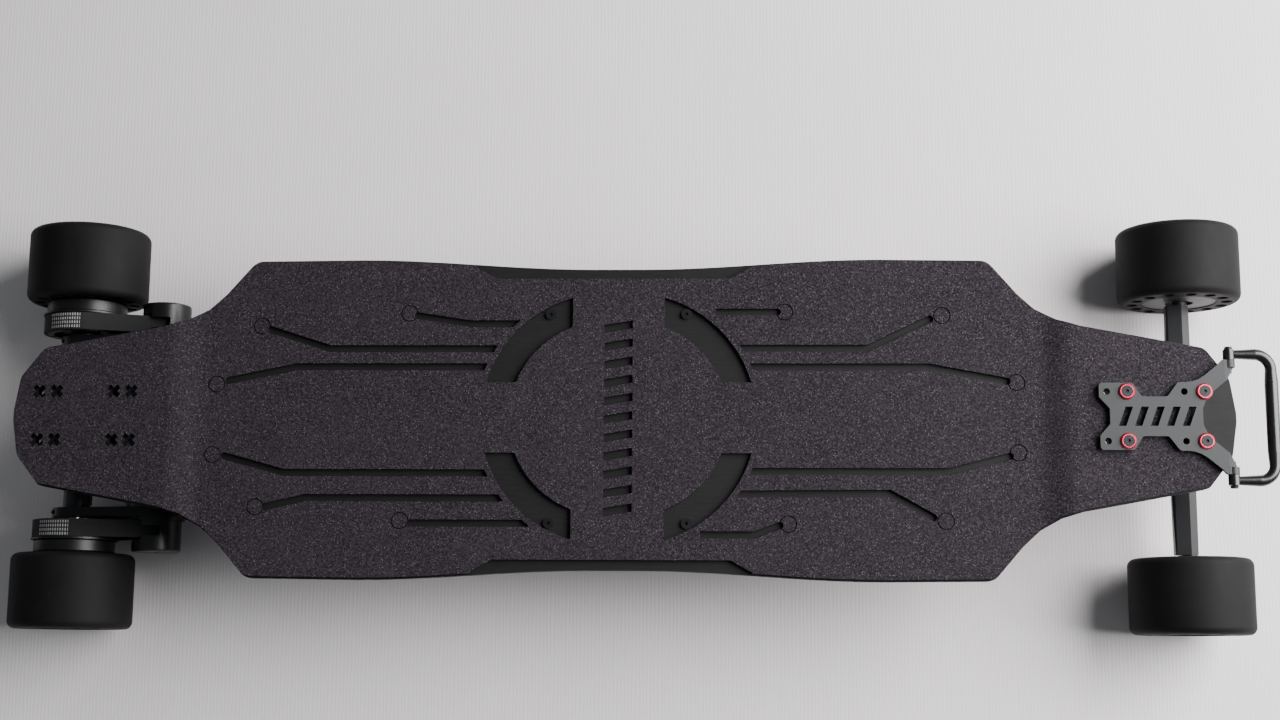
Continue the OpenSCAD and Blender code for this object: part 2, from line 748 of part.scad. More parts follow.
// plastic core: bearing seats, a dished inner face and six pockets outside
module core() {
    pocket_floor = wheel_in + 30;
    color(core_colour) difference() {
        rotate_extrude($fn = 128) polygon([[bearing_r + 2.5, wheel_in], [core_r, wheel_in + 0.8],
            [core_r, wheel_out - 0.8], [core_r - 3, wheel_out - 0.8], [core_r - 5, wheel_out - 4],
            [bearing_r + 5, wheel_out - 4], [bearing_r + 3, wheel_out - 2], [bearing_r + 1, wheel_out - 2],
            [bearing_r + 1, bearing_out + bearing_w], [bearing_r, bearing_out + bearing_w],
            [bearing_r, bearing_out], [bearing_r - 2, bearing_out],
            [bearing_r - 2, bearing_in + bearing_w], [bearing_r, bearing_in + bearing_w],
            [bearing_r, bearing_in], [bearing_r + 1, bearing_in - 1], [bearing_r + 1, wheel_in]]);
        for (i = [0:5]) rotate(i * 60) translate([0, 0, pocket_floor]) linear_extrude(wheel_w)
            polygon(rounded([[16.5, -3, 2], [24.5, -8.5, 2.5], [27, 0, 2], [24.5, 8.5, 2.5], [16.5, 3, 2]]));
    }
}

module bearing_pair() {
    color(steel) for (z = [bearing_in, bearing_out]) translate([0, 0, z]) rotate_extrude($fn = 64)
        polygon([[axle_d / 2 + 0.05, 0], [6, 0], [6, 0.4], [9.2, 0.4], [9.2, 0], [bearing_r, 0],
            [bearing_r, bearing_w], [9.2, bearing_w], [9.2, bearing_w - 0.4], [6, bearing_w - 0.4],
            [6, bearing_w], [axle_d / 2 + 0.05, bearing_w]]);
}

module tyre_front_left() {
    at_board() at_wheel(1, 1) tyre();
}

module tyre_front_right() {
    at_board() at_wheel(1, -1) tyre();
}

module tyre_rear_left() {
    at_board() at_wheel(-1, 1) tyre();
}

module tyre_rear_right() {
    at_board() at_wheel(-1, -1) tyre();
}

module core_front_left() {
    at_board() at_wheel(1, 1) core();
}

module core_front_right() {
    at_board() at_wheel(1, -1) core();
}

module core_rear_left() {
    at_board() at_wheel(-1, 1) core();
}

module core_rear_right() {
    at_board() at_wheel(-1, -1) core();
}

module bearings_front_left() {
    at_board() at_wheel(1, 1) bearing_pair();
}

module bearings_front_right() {
    at_board() at_wheel(1, -1) bearing_pair();
}

module bearings_rear_left() {
    at_board() at_wheel(-1, 1) bearing_pair();
}

module bearings_rear_right() {
    at_board() at_wheel(-1, -1) bearing_pair();
}

// ---------- belt drive ----------
// In these outlines +X points from the wheel's axle to the motor's, and Y is up or down.

// outline round two circles and the straight sides that touch both
function drive_points(r_wheel, r_motor) =
    let (slope = asin((r_wheel - r_motor) / centre))
    concat([for (i = [0:44]) let (a = 90 - slope + i * (180 + 2 * slope) / 44) r_wheel * [cos(a), sin(a)]],
           [for (i = [0:20]) let (a = slope - 90 + i * (180 - 2 * slope) / 20)
               [centre, 0] + r_motor * [cos(a), sin(a)]]);

module drive_shape(r_wheel, r_motor) {
    polygon(drive_points(r_wheel, r_motor));
}

// a pulley's toothed outline: round grooves cut into a disc
tooth_r = 1.5;
tooth_sink = 0.6;                    // how far the grooves' centres lie inside the rim
tooth_play = 0.26;                   // lets the teeth leave the grooves where the belt runs off
module toothed(teeth, phase) {
    rim = teeth * pitch / (2 * PI) - pitch_line;
    difference() {
        circle(r = rim, $fn = 128);
        for (i = [0:teeth - 1]) rotate(phase + (i + 0.5) * 360 / teeth)
            translate([rim - tooth_sink, 0]) circle(r = tooth_r + 0.06, $fn = 20);
    }
}

// one belt tooth with its root at the origin, pointing along -Y
module belt_tooth() {
    r = tooth_r - tooth_play;
    translate([0, -tooth_sink]) circle(r = r, $fn = 20);
    translate([-r, -tooth_sink]) square([2 * r, tooth_sink + 0.3]);
}

// belt length from the far side of the wheel pulley, along its upper half
wheel_arc = (90 + lean_in) * PI / 180 * wheel_pr;
run = centre * cos(lean_in);
motor_arc = (90 - lean_in) * PI / 180 * motor_pr;

// places a child at a length along the belt's upper half
module along_belt(length) {
    if (length <= wheel_arc)
        rotate(180 - length / wheel_pr * 180 / PI - 90) translate([0, wheel_pr - pitch_line]) children();
    else if (length <= wheel_arc + run)
        rotate(-lean_in) translate([length - wheel_arc, wheel_pr - pitch_line]) children();
    else
        translate([centre, 0]) rotate(-lean_in - (length - wheel_arc - run) / motor_pr * 180 / PI)
            translate([0, motor_pr - pitch_line]) children();
}

module belt_shape() {
    difference() {
        drive_shape(wheel_pr - pitch_line + belt_back, motor_pr - pitch_line + belt_back);
        drive_shape(wheel_pr - pitch_line + 0.1, motor_pr - pitch_line + 0.1);
    }
    for (i = [0:belt_teeth / 2 - 1]) {
        along_belt((i + 0.5) * pitch) belt_tooth();
        mirror([0, 1]) along_belt((i + 0.5) * pitch) belt_tooth();
    }
}

// the drive's frame: outline in the wheel's plane, +Z away from the board
module at_drive(side) {
    translate([-tail_axle, 0, axle_z]) rotate([side > 0 ? -90 : 90, 0, 0]) children();
}

module belt(side) {
    color(belt_colour) at_board() at_drive(side) translate([0, 0, belt_y]) linear_extrude(belt_w) belt_shape();
}

module belt_left() {
    belt(1);
}

module belt_right() {
    belt(-1);
}

module wheel_pulley(side) {
    color(core_colour) at_board() at_drive(side) difference() {
        union() {
            translate([0, 0, belt_y - 0.4]) linear_extrude(belt_w + 1) toothed(wheel_teeth, 180);
            translate([0, 0, belt_y + belt_w + 0.6]) cylinder(r = wheel_pr + 2, h = 1.5, $fn = 96);
            translate([0, 0, belt_y + belt_w + 2.1]) cylinder(r = 24, h = wheel_in - belt_y - belt_w - 2.1, $fn = 64);
        }
        translate([0, 0, belt_y - 1]) cylinder(r = 8, h = 60, $fn = 48);
        // dished face with five windows between its spokes
        translate([0, 0, belt_y - 1]) ring(27.5, 13, 4.5);
        for (i = [0:4]) rotate(i * 72) {
            translate([20.5, 0, belt_y - 1]) cylinder(r = 4, h = 9, $fn = 24);
            rotate(36) translate([28.5, 0, belt_y - 1]) cylinder(r = 3, h = 30, $fn = 24);
        }
    }
}

module wheel_pulley_left() {
    wheel_pulley(1);
}

module wheel_pulley_right() {
    wheel_pulley(-1);
}

module motor_pulley(side) {
    color(steel) at_board() at_drive(side) translate([centre, 0, belt_y - 0.4]) difference() {
        union() {
            linear_extrude(belt_w + 1) toothed(motor_teeth, 0);
            translate([0, 0, -1]) cylinder(r = motor_pr + 2.2, h = 1, $fn = 64);
            translate([0, 0, belt_w + 1]) cylinder(r = motor_pr + 2.2, h = 1, $fn = 64);
            translate([0, 0, belt_w + 2]) cylinder(r = 9, h = 5, $fn = 48);
        }
        translate([0, 0, -5]) cylinder(r = 4, h = 60, $fn = 40);
    }
}

module motor_pulley_left() {
    motor_pulley(1);
}

module motor_pulley_right() {
    motor_pulley(-1);
}

// plate that is clamped on the hanger and carries the motor
module motor_mount(side) {
    color(satin) at_board() at_drive(side) translate([0, 0, mount_y]) difference() {
        linear_extrude(mount_t) difference() {
            drive_shape(20, motor_d / 2 + 1);
            circle(r = 11.5, $fn = 64);
            translate([-40, -0.8]) square([30, 1.6]);
            translate([centre, 0]) circle(r = 9.5, $fn = 48);
            for (i = [0:3]) translate([centre, 0]) rotate(45 + 90 * i) translate([22, 0]) circle(r = 2.1, $fn = 24);
            translate([35, 0]) polygon(rounded([[-9, -9, 3], [5, -13, 3], [5, 13, 3], [-9, 9, 3]]));
        }
        translate([-16, 30, mount_t / 2]) rotate([90, 0, 0]) cylinder(r = 2.1, h = 60, $fn = 24);
    }
}

module motor_mount_left() {
    motor_mount(1);
}

module motor_mount_right() {
    motor_mount(-1);
}

// sealed housing with cooling grooves, and the wound core fixed inside it
module motor_case(side) {
    r = motor_d / 2;
    length = mount_y - motor_end;
    color(black) at_board() at_motor(side) translate([0, 0, motor_end]) difference() {
        union() {
            difference() {
                rotate_extrude($fn = 96) polygon(concat(
                    [[0, 0], [r - 5, 0], [r - 0.8, 4]],
                    [for (i = [0:4]) each [[r - 0.8, 7 + 7 * i], [r, 8 + 7 * i], [r, 12 + 7 * i],
                        [r - 0.8, 13 + 7 * i]]],
                    [[r - 0.8, length], [0, length]]));
                translate([0, 0, 3]) cylinder(r = r - 3, h = length - 6, $fn = 96);
            }
            translate([0, 0, length - 33]) cylinder(r = 18, h = 31, $fn = 64);
            // boss where the cable enters
            translate([r - 2, 0, 12]) rotate([0, 90, 0]) cylinder(r = 6.5, h = 5.5, $fn = 40);
        }
        translate([0, 0, 1]) cylinder(r = 5.2, h = length + 2, $fn = 48);
        translate([0, 0, 3]) cylinder(r = r - 3, h = length - 36.5, $fn = 96);
        translate([0, 0, length - 3.5]) cylinder(r = 8, h = 10, $fn = 48);
        // screw holes for the mount
        for (i = [0:3]) rotate(45 + 90 * i) translate([22, 0, length - 3]) cylinder(r = 1.9, h = 9, $fn = 24);
    }
}

module motor_case_left() {
    motor_case(1);
}

module motor_case_right() {
    motor_case(-1);
}

// magnet bell and shaft, turning inside the case
module motor_rotor(side) {
    r = motor_d / 2;
    length = mount_y - motor_end;
    color(steel) at_board() at_motor(side) {
        translate([0, 0, motor_end]) rotate_extrude($fn = 80) polygon([[0, 2], [4, 2], [4, 4],
            [r - 4, 4], [r - 4, length - 8], [r - 8.5, length - 8], [r - 8.5, 7], [4, 7],
            [4, belt_y + belt_w + 8 - motor_end], [0, belt_y + belt_w + 8 - motor_end]]);
    }
}

module motor_rotor_left() {
    motor_rotor(1);
}

module motor_rotor_right() {
    motor_rotor(-1);
}

// cup over the motor pulley, open where the belt leaves it, with a slot in its top
module belt_cover(side) {
    deep = 110;
    start = mount_y + mount_t;
    color(black) at_board() at_drive(side) difference() {
        translate([centre, 0, start]) rotate_extrude($fn = 96) polygon(rounded([[18.3, 0, 0], [23.5, 0, 0],
            [23.5, 3, 0], [21, 3, 0], [21, deep - start, 2], [0, deep - start, 0], [0, deep - start - 2.4, 0],
            [18.3, deep - start - 2.4, 2]]));
        translate([0, 0, start - 1]) linear_extrude(belt_y + belt_w + 2.6 - start + 1)
            drive_shape(wheel_pr + 4, motor_pr + 3.6);
        translate([centre, side * -40, belt_y + 9]) cube([17, 80, 9], center = true);
        translate([centre, 0, deep - 5]) cylinder(r = 3, h = 10, $fn = 32);
    }
}

module belt_cover_left() {
    belt_cover(1);
}

module belt_cover_right() {
    belt_cover(-1);
}

// four motor screws and a clamp screw on each side
module drive_screws() {
    color(steel) at_board() for (side = [-1, 1]) at_drive(side) {
        for (i = [0:3]) translate([centre, 0, mount_y + mount_t]) rotate(45 + 90 * i) translate([22, 0, 0]) {
            translate([0, 0, -10]) cylinder(r = 1.9, h = 10, $fn = 24);
            if (i == 1 || i == 2) difference() {
                cylinder(r = 3.4, h = 2.2, $fn = 32);
                translate([0, 0, 1]) cylinder(r = 1.5, h = 3, $fn = 6);
            }
        }
        translate([-16, 0, mount_y + mount_t / 2]) rotate([90, 0, 0]) cylinder(r = 2, h = 24, center = true, $fn = 24);
    }
}

// ---------- battery box and what it holds ----------

flange_t = 3;
module box_outer() {
    half_l = box_l / 2 - 10;
    half_w = box_w / 2 - 11;
    intersection() {
        across(-big / 2, big / 2) polygon([[-half_l, belly], [half_l, belly], [half_l - 8, box_floor + 10],
            [half_l - 20, box_floor], [-half_l + 20, box_floor], [-half_l + 8, box_floor + 10]]);
        rotate([90, 0, 90]) linear_extrude(box_l, center = true) polygon([[-half_w, belly], [half_w, belly],
            [half_w - 5, box_floor + 8], [half_w - 14, box_floor], [-half_w + 14, box_floor],
            [-half_w + 5, box_floor + 8]]);
        linear_extrude(belly) polygon(rounded([[-half_l, -half_w, 22], [half_l, -half_w, 22],
            [half_l, half_w, 22], [-half_l, half_w, 22]]));
    }
}

module flange_screw_places() {
    for (j = [-1, 1]) {
        for (i = [-3:3]) translate([i * 95, j * (box_w / 2 - 5.2), 0]) children();
    }
    for (i = [-1, 1], j = [-1, 1]) translate([i * (box_l / 2 - 5), j * 40, 0]) children();
}

module battery_box() {
    wall = 3;
    color(black) at_board() difference() {
        union() {
            translate([0, 0, belly - flange_t]) linear_extrude(flange_t) polygon(rounded(
                [[-box_l / 2, -box_w / 2, 26], [box_l / 2, -box_w / 2, 26], [box_l / 2, box_w / 2, 26],
                 [-box_l / 2, box_w / 2, 26]]));
            box_outer();
            // pads for the charge port and the power button
            for (x = [port_x, button_x]) translate([x, pad_y, port_z]) rotate([-90, 0, 0])
                cylinder(r = 15, h = 20, $fn = 64);
            // bosses under the four screws from above
            for (i = [-1, 1], j = [-1, 1]) translate([i * screw_x, j * screw_y, belly - 12])
                cylinder(r = 5.5, h = 12, $fn = 32);
        }
        // room for the battery and the controller
        for (x = [[-290, 136], [142, 290]]) translate([x[0], -78, box_floor + wall])
            cube([x[1] - x[0], 156, box_depth]);
        // shallow grooves along the floor's outside
        for (j = [-2:2]) translate([-275, 32 * j - 3, box_floor - 1]) cube([395, 6, 2]);
        // window for the heat sink
        translate([160, -46, box_floor - 1]) cube([112, 92, 20]);
        translate([port_x, pad_y - 1, port_z]) rotate([-90, 0, 0]) cylinder(r = 11, h = 24, $fn = 48);
        translate([button_x, pad_y - 1, port_z]) rotate([-90, 0, 0]) cylinder(r = 8.3, h = 24, $fn = 48);
        for (j = [-1, 1]) translate([-box_l / 2, j * 40, port_z - 8]) rotate([0, 90, 0])
            cylinder(r = 7, h = 40, $fn = 32);
        box_top_screw_places() translate([0, 0, belly - 10]) cylinder(r = 2.5, h = 20, $fn = 24);
        flange_screw_places() translate([0, 0, belly - 20]) cylinder(r = 2.1, h = 30, $fn = 24);
    }
}

module box_screws() {
    color(steel) at_board() {
        box_top_screw_places() translate([0, 0, platform_top + 2.4]) socket_screw(5, 9, deck_thick + 11);
        flange_screw_places() translate([0, 0, belly - flange_t]) mirror([0, 0, 1]) {
            translate([0, 0, -flange_t]) cylinder(r = 2, h = flange_t, $fn = 24);
            cylinder(r1 = 3.6, r2 = 2.8, h = 2, $fn = 32);
        }
    }
}

cell_r = 10.6;
cell_l = 70;
module battery_cells() {
    color("#3f6fb0") at_board() for (row = [-1, 1], i = [0:18])
        translate([-279 + 22 * i, row * 37, box_floor + 14.5]) rotate([90, 0, 0]) {
            cylinder(r = cell_r, h = cell_l, center = true, $fn = 40);
            cylinder(r = 3, h = cell_l + 2.4, center = true, $fn = 24);
        }
}

module speed_controller() {
    color("#2c5a3c") at_board() translate([150, -60, box_floor + 22]) {
        cube([130, 120, 1.8]);
        for (i = [0:3]) translate([12 + 30 * i, 14, 1.8]) cylinder(r = 7, h = 12, $fn = 32);
        for (i = [0:5]) translate([10 + 18 * i, 50, 1.8]) cube([12, 14, 3]);
        translate([10, 86, 1.8]) cube([110, 26, 9]);
    }
}

module heat_sink() {
    color(steel) at_board() difference() {
        translate([161, -45, box_floor - 2]) cube([110, 90, 23]);
        for (i = [0:11]) translate([150, -41.5 + 7 * i, box_floor - 3]) cube([130, 4, 7]);
    }
}

module charge_port() {
    color(black) at_board() {
        translate([port_x, pad_y - 2, port_z]) rotate([-90, 0, 0]) difference() {
            union() {
                cylinder(r = 13, h = 2, $fn = 64);
                cylinder(r = 11, h = 22, $fn = 64);
            }
            translate([0, 0, -1]) cylinder(r = 7.7, h = 10, $fn = 64);
            for (a = [90, 210, 330]) rotate(a) translate([3.6, 0, 5]) cylinder(r = 1.2, h = 10, $fn = 24);
        }
        // ears and pin for the cap
        for (z = [-6.5, 4.5]) translate([hinge_x - 2.5, hinge_y - 1.7, port_z + z])
            cube([4.5, pad_y - hinge_y + 1.7, 2]);
        translate([hinge_x, hinge_y, port_z - 6.5]) cylinder(r = 1, h = 13, $fn = 32);
    }
}

// the cap is drawn swung open, so that the socket is free
module swung_open() {
    translate([hinge_x, hinge_y, 0]) rotate(cap_open) translate([-hinge_x, -hinge_y, 0]) children();
}

module charge_cap() {
    face = pad_y - 2 - gap;
    color(satin) at_board() swung_open() difference() {
        union() {
            translate([port_x, face - 2.4, port_z]) rotate([-90, 0, 0]) cylinder(r = 12, h = 2.4, $fn = 64);
            translate([port_x, face - 0.5, port_z]) rotate([-90, 0, 0]) cylinder(r = 6.8, h = 4.2, $fn = 48);
            translate([port_x + 6, face - 2.4, port_z - 4]) cube([hinge_x - port_x - 6, 2.4, 8]);
            translate([hinge_x, hinge_y, port_z - 4]) cylinder(r = 2, h = 8, $fn = 40);
            translate([port_x - 15, face - 2.4, port_z - 3]) cube([6, 1.6, 6]);
        }
        translate([hinge_x, hinge_y, port_z - 10]) cylinder(r = 1.06, h = 20, $fn = 32);
    }
}

module power_button() {
    color("#9b9ba2") at_board() translate([button_x, pad_y - 2.6, port_z]) rotate([-90, 0, 0]) difference() {
        union() {
            cylinder(r1 = 7.4, r2 = 8, h = 0.6, $fn = 64);
            translate([0, 0, 0.6]) cylinder(r = 8, h = 8, $fn = 64);
        }
        difference() {
            translate([0, 0, -1]) cylinder(r = 4.6, h = 1.4, $fn = 48);
            translate([0, 0, -2]) cylinder(r = 3.6, h = 3, $fn = 48);
        }
    }
}

cable_y = 40;
cable_z = 85;
module cable_glands() {
    color(black) at_board() for (j = [-1, 1]) translate([-box_l / 2 + 2, j * cable_y, cable_z])
        rotate([0, 90, 0]) difference() {
            union() {
                translate([0, 0, -6]) cylinder(r1 = 6.6, r2 = 9.4, h = 6, $fn = 40);
                cylinder(r = 10, h = 6, $fn = 6);
                cylinder(r = 7, h = 26, $fn = 40);
            }
            translate([0, 0, -10]) cylinder(r = 4.6, h = 50, $fn = 32);
        }
}

// sleeved motor leads, held all the way from the motors to the box
module motor_cables() {
    route = [[motor_x + motor_d / 2 + 3.9, 39, 52.5], [-370, 39, 53], [-361, 39, 56], [-353, 39, 62],
        [-346, 39.5, 70], [-339, cable_y, 78.5], [-333, cable_y, 83.5], [-329, cable_y, cable_z],
        [-326.5, cable_y, cable_z], [-310, cable_y, cable_z], [-296, cable_y, cable_z]];
    color(black) at_board() {
        swept_tube(route, 4.5, 12);
        mirror([0, 1, 0]) swept_tube(route, 4.5, 12);
    }
}

deck();
grip_foam();
front_bracket();
cup_washers();
truck_bolts();
truck_nuts();
risers();
baseplate_front();
baseplate_rear();
pivot_cups();
kingpins();
bushings_front();
bushings_rear();
kingpin_washers();
kingpin_nuts();
battery_box();
box_screws();
battery_cells();
speed_controller();
heat_sink();
charge_port();
cable_glands();
motor_cables();
handle_bolts();
handle();
power_button();
charge_cap();
hanger_front();
axle_front();
axle_hardware_front();
hanger_rear();
axle_rear();
axle_hardware_rear();
motor_mount_left();
motor_mount_right();
motor_case_left();
motor_case_right();
belt_left();
belt_right();
belt_cover_left();
belt_cover_right();
drive_screws();
motor_rotor_left();
motor_rotor_right();
motor_pulley_left();
motor_pulley_right();
tyre_front_left();
tyre_front_right();
tyre_rear_left();
tyre_rear_right();
core_front_left();
core_front_right();
core_rear_left();
core_rear_right();
bearings_front_left();
bearings_front_right();
bearings_rear_left();
bearings_rear_right();
wheel_pulley_left();
wheel_pulley_right();
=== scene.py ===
"""Electric skateboard: finishes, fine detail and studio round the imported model."""

import json
import math

import bmesh
import bpy
from bpy.props import FloatProperty, FloatVectorProperty, PointerProperty
from mathutils import Matrix, Vector


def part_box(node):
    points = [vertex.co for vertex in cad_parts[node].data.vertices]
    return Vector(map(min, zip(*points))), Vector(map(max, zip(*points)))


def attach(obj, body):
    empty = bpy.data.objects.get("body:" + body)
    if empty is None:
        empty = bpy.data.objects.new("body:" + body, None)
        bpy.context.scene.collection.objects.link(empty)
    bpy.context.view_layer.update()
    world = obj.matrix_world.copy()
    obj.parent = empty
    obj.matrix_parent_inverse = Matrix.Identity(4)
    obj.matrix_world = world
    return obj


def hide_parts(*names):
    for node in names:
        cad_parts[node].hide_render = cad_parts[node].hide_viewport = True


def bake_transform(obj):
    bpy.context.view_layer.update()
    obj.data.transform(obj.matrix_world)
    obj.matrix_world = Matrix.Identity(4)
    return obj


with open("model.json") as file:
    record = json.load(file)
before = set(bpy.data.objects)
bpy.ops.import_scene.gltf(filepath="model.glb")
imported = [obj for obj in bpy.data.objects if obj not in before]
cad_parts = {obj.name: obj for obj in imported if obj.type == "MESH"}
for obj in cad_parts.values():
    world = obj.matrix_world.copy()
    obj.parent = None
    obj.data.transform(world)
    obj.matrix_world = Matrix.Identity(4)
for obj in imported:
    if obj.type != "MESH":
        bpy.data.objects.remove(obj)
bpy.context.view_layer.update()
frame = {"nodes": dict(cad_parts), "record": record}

bl_info = {
    "name": "Electric skateboard finish",
    "version": (1, 0, 0),
    "blender": (4, 5, 0),
    "location": "View3D > Sidebar > Skateboard",
    "description": "Finishes, fine detail and a studio for an electric skateboard",
    "category": "Object",
}

MM = 0.001
NODES = frame["nodes"]
WHEELS = ("front_left", "front_right", "rear_left", "rear_right")


def middle(node):
    """Centre of a CAD node's box."""
    low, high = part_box(node)
    return (low + high) / 2


AXLE_FRONT = middle("axle_front")
AXLE_REAR = middle("axle_rear")
FOAM_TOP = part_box("grip_foam")[1].z
DECK_SHIFT = -middle("deck").x
RAMP_START = 345 * MM
RAMP_RUN = 36 * MM
PLATFORM_DROP = 8 * MM

WELD = 0.002 * MM
SOFT_ANGLE = 0.6
TYRE_HOLES = 14
HOLE_RING = 40 * MM
HOLE_RADIUS = 4.5 * MM


# ---------------------------------------------------------------- shader maths


class Value:
    """A shader value that takes part in Python expressions."""

    def __init__(self, paint, socket):
        self.paint = paint
        self.socket = socket

    def maths(self, operation, first, second=0.0, third=0.0):
        return self.paint.node("ShaderNodeMath", {"operation": operation}, {0: first, 1: second, 2: third})

    def __add__(self, other):
        return self.maths("ADD", self, other)

    def __sub__(self, other):
        return self.maths("SUBTRACT", self, other)

    def __rsub__(self, other):
        return self.maths("SUBTRACT", other, self)

    def __mul__(self, other):
        return self.maths("MULTIPLY", self, other)

    def __pow__(self, other):
        return self.maths("POWER", self, other)

    def __mod__(self, other):
        return self.maths("FLOORED_MODULO", self, other)

    def __lt__(self, other):
        return self.maths("LESS_THAN", self, other)

    def __gt__(self, other):
        return self.maths("GREATER_THAN", self, other)

    def __abs__(self):
        return self.maths("ABSOLUTE", self)

    __radd__ = __add__

    def sine(self):
        return self.maths("SINE", self)

    def most(self, other):
        return self.maths("MAXIMUM", self, other)

    def length_with(self, other):
        """Distance from the origin of a point with these two coordinates."""
        return (self * self + other * other) ** 0.5

    def fade(self, start, end):
        """0 before start, 1 after end and smooth between them."""
        inputs = {"Value": self, "From Min": start, "From Max": end}
        settings = {"interpolation_type": "SMOOTHSTEP"}
        return self.paint.node("ShaderNodeMapRange", settings, inputs)


class Paint:
    """One procedural finish: a material, its shader and the nodes that feed it."""

    def __init__(self, name, **constants):
        self.material = bpy.data.materials.new(name + "_finish")
        self.material.use_nodes = True
        self.tree = self.material.node_tree
        self.tree.nodes.clear()
        self.shader = self.tree.nodes.new("ShaderNodeBsdfPrincipled")
        output = self.tree.nodes.new("ShaderNodeOutputMaterial")
        self.tree.links.new(self.shader.outputs[0], output.inputs["Surface"])
        self.set(**constants)

    def set(self, **values):
        """Feeds the shader's sockets; base_color stands for Base Color."""
        for name, value in values.items():
            self.feed(self.shader.inputs[name.replace("_", " ").title().replace("Ior", "IOR")], value)

    def feed(self, socket, value):
        if isinstance(value, Value):
            self.tree.links.new(value.socket, socket)
        elif socket.type == "RGBA":
            socket.default_value = (*value[:3], 1.0)
        else:
            socket.default_value = value

    def node(self, kind, settings=None, inputs=None, output=0):
        """Adds a node, gives it its settings and then its inputs, and returns one of its outputs."""
        made = self.tree.nodes.new(kind)
        for key, value in (settings or {}).items():
            setattr(made, key, value)
        for key, value in (inputs or {}).items():
            self.feed(made.inputs[key], value)
        return Value(self, made.outputs[output])

    def place(self, centre=(0, 0, 0), stretch=(1, 1, 1)):
        """Object coordinates, measured from centre and stretched."""
        here = self.node("ShaderNodeTexCoord", output="Object")
        offset = [-c * s for c, s in zip(centre, stretch)]
        return self.node("ShaderNodeMapping", None, {"Vector": here, "Location": offset, "Scale": stretch})

    def axes(self, place):
        return [self.node("ShaderNodeSeparateXYZ", None, {0: place}, axis) for axis in range(3)]

    def noise(self, place, scale, detail=2.0, rough=0.5):
        inputs = {"Vector": place, "Scale": scale, "Detail": detail, "Roughness": rough}
        return self.node("ShaderNodeTexNoise", None, inputs)

    def cells(self, place, scale, output="Distance"):
        return self.node("ShaderNodeTexVoronoi", None, {"Vector": place, "Scale": scale}, output)

    def chance(self, cell_colour):
        """A number from 0 to 1 that differs from cell to cell."""
        return self.node("ShaderNodeSeparateColor", None, {0: cell_colour})

    def mix(self, share, first, second):
        """Colour between first, at share 0, and second, at share 1."""
        inputs = {0: share, 6: first, 7: second}
        return self.node("ShaderNodeMix", {"data_type": "RGBA"}, inputs, 2)

    def bump(self, height, depth, strength=1.0):
        inputs = {"Height": height, "Distance": depth, "Strength": strength}
        return self.node("ShaderNodeBump", None, inputs)


def axle_radius(paint):
    """Distance from the nearer axle, for parts that both trucks have."""
    between = (AXLE_FRONT.x + AXLE_REAR.x) / 2
    half = (AXLE_FRONT.x - AXLE_REAR.x) / 2
    x, _, z = paint.axes(paint.place((between, 0, AXLE_FRONT.z)))
    return (abs(x) - half).length_with(z)


def foot_height(x, z):
    """Height that the dropped platform would have without its drop, so that depths read alike everywhere."""
    ramp = (abs(x + DECK_SHIFT) - RAMP_START).fade(0, RAMP_RUN)
    return z + (1 - ramp) * PLATFORM_DROP


# ---------------------------------------------------------------- finishes


def foam_finish(look):
    """Rough foam: matted grain, faint blotches, pale flecks of two tints, and painted shade in the grooves
    and on the sides below the top.
    """
    p = Paint("grip_foam", specular_ior_level=0.06)
    here = p.place()
    grain = p.noise(here, 640, 3, 0.75)
    blotch = p.noise(here, 16, 3, 0.55)
    pit = p.cells(here, 520)
    flecks = p.cells(here, look.fleck_scale)
    lot = p.chance(p.cells(here, look.fleck_scale, "Color"))
    pale = (lot > 1 - look.fleck_share) * (1 - flecks.fade(0.25, 0.5))
    dark = tuple(look.foam_colour)
    body = p.mix(blotch.fade(0.3, 0.7), [c * 0.84 for c in dark], [c * 1.14 for c in dark])
    body = p.mix(grain.fade(0.4, 0.62), body, [c * 2.6 for c in dark])
    warm_fleck = (0.11, 0.09, 0.10)
    tint = p.mix(lot.fade(0.95, 1.0), tuple(look.fleck_colour), warm_fleck)
    height = grain + pale * 0.5 - pit.fade(0.45, 0.1) * 0.4
    x, _, z = p.axes(here)
    below = FOAM_TOP - foot_height(x, z)
    # painted shade: the groove walls and floors and the sheet's sides, more than 0.6 mm below the top, are
    # darkened towards 0.3 of the foam colour
    painted_groove_shade = below.fade(0.35 * MM, 0.6 * MM)
    body = p.mix(painted_groove_shade * 0.75, p.mix(pale * 0.8, body, tint), [c * 0.3 for c in dark])
    p.set(base_color=body, roughness=0.94 - pale * 0.3, normal=p.bump(height, 0.5 * MM, 0.55))
    return p.material


def laminate_finish():
    """Satin black deck: fine fibres along its length and thin plies at its edge."""
    p = Paint("deck_laminate", specular_ior_level=0.22)
    here = p.place()
    x, _, z = p.axes(here)
    height = foot_height(x, z)
    ply_pitch, half_ply = 1.45, 0.72
    ply = abs((height * 1000 + 0.35) % ply_pitch - half_ply).fade(0.3, 0.62)
    low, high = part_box("deck")
    edge = (height > low.z + 8.4 * MM) * (height < high.z - 0.5 * MM)
    fibre = p.noise(p.place(stretch=(0.05, 1, 1)), 1500, 3, 0.6)
    wear = p.noise(here, 30, 4, 0.6)
    body = p.mix(fibre.fade(0.3, 0.8), (0.004, 0.004, 0.0045), (0.009, 0.0085, 0.009))
    wood = p.mix(fibre.fade(0.35, 0.7), (0.020, 0.014, 0.010), (0.045, 0.030, 0.021))
    p.set(base_color=p.mix(edge * ply * 0.8, body, wood), roughness=0.5 + wear * 0.2,
          normal=p.bump(fibre + edge * ply * 0.8, 0.12 * MM, 0.5))
    return p.material


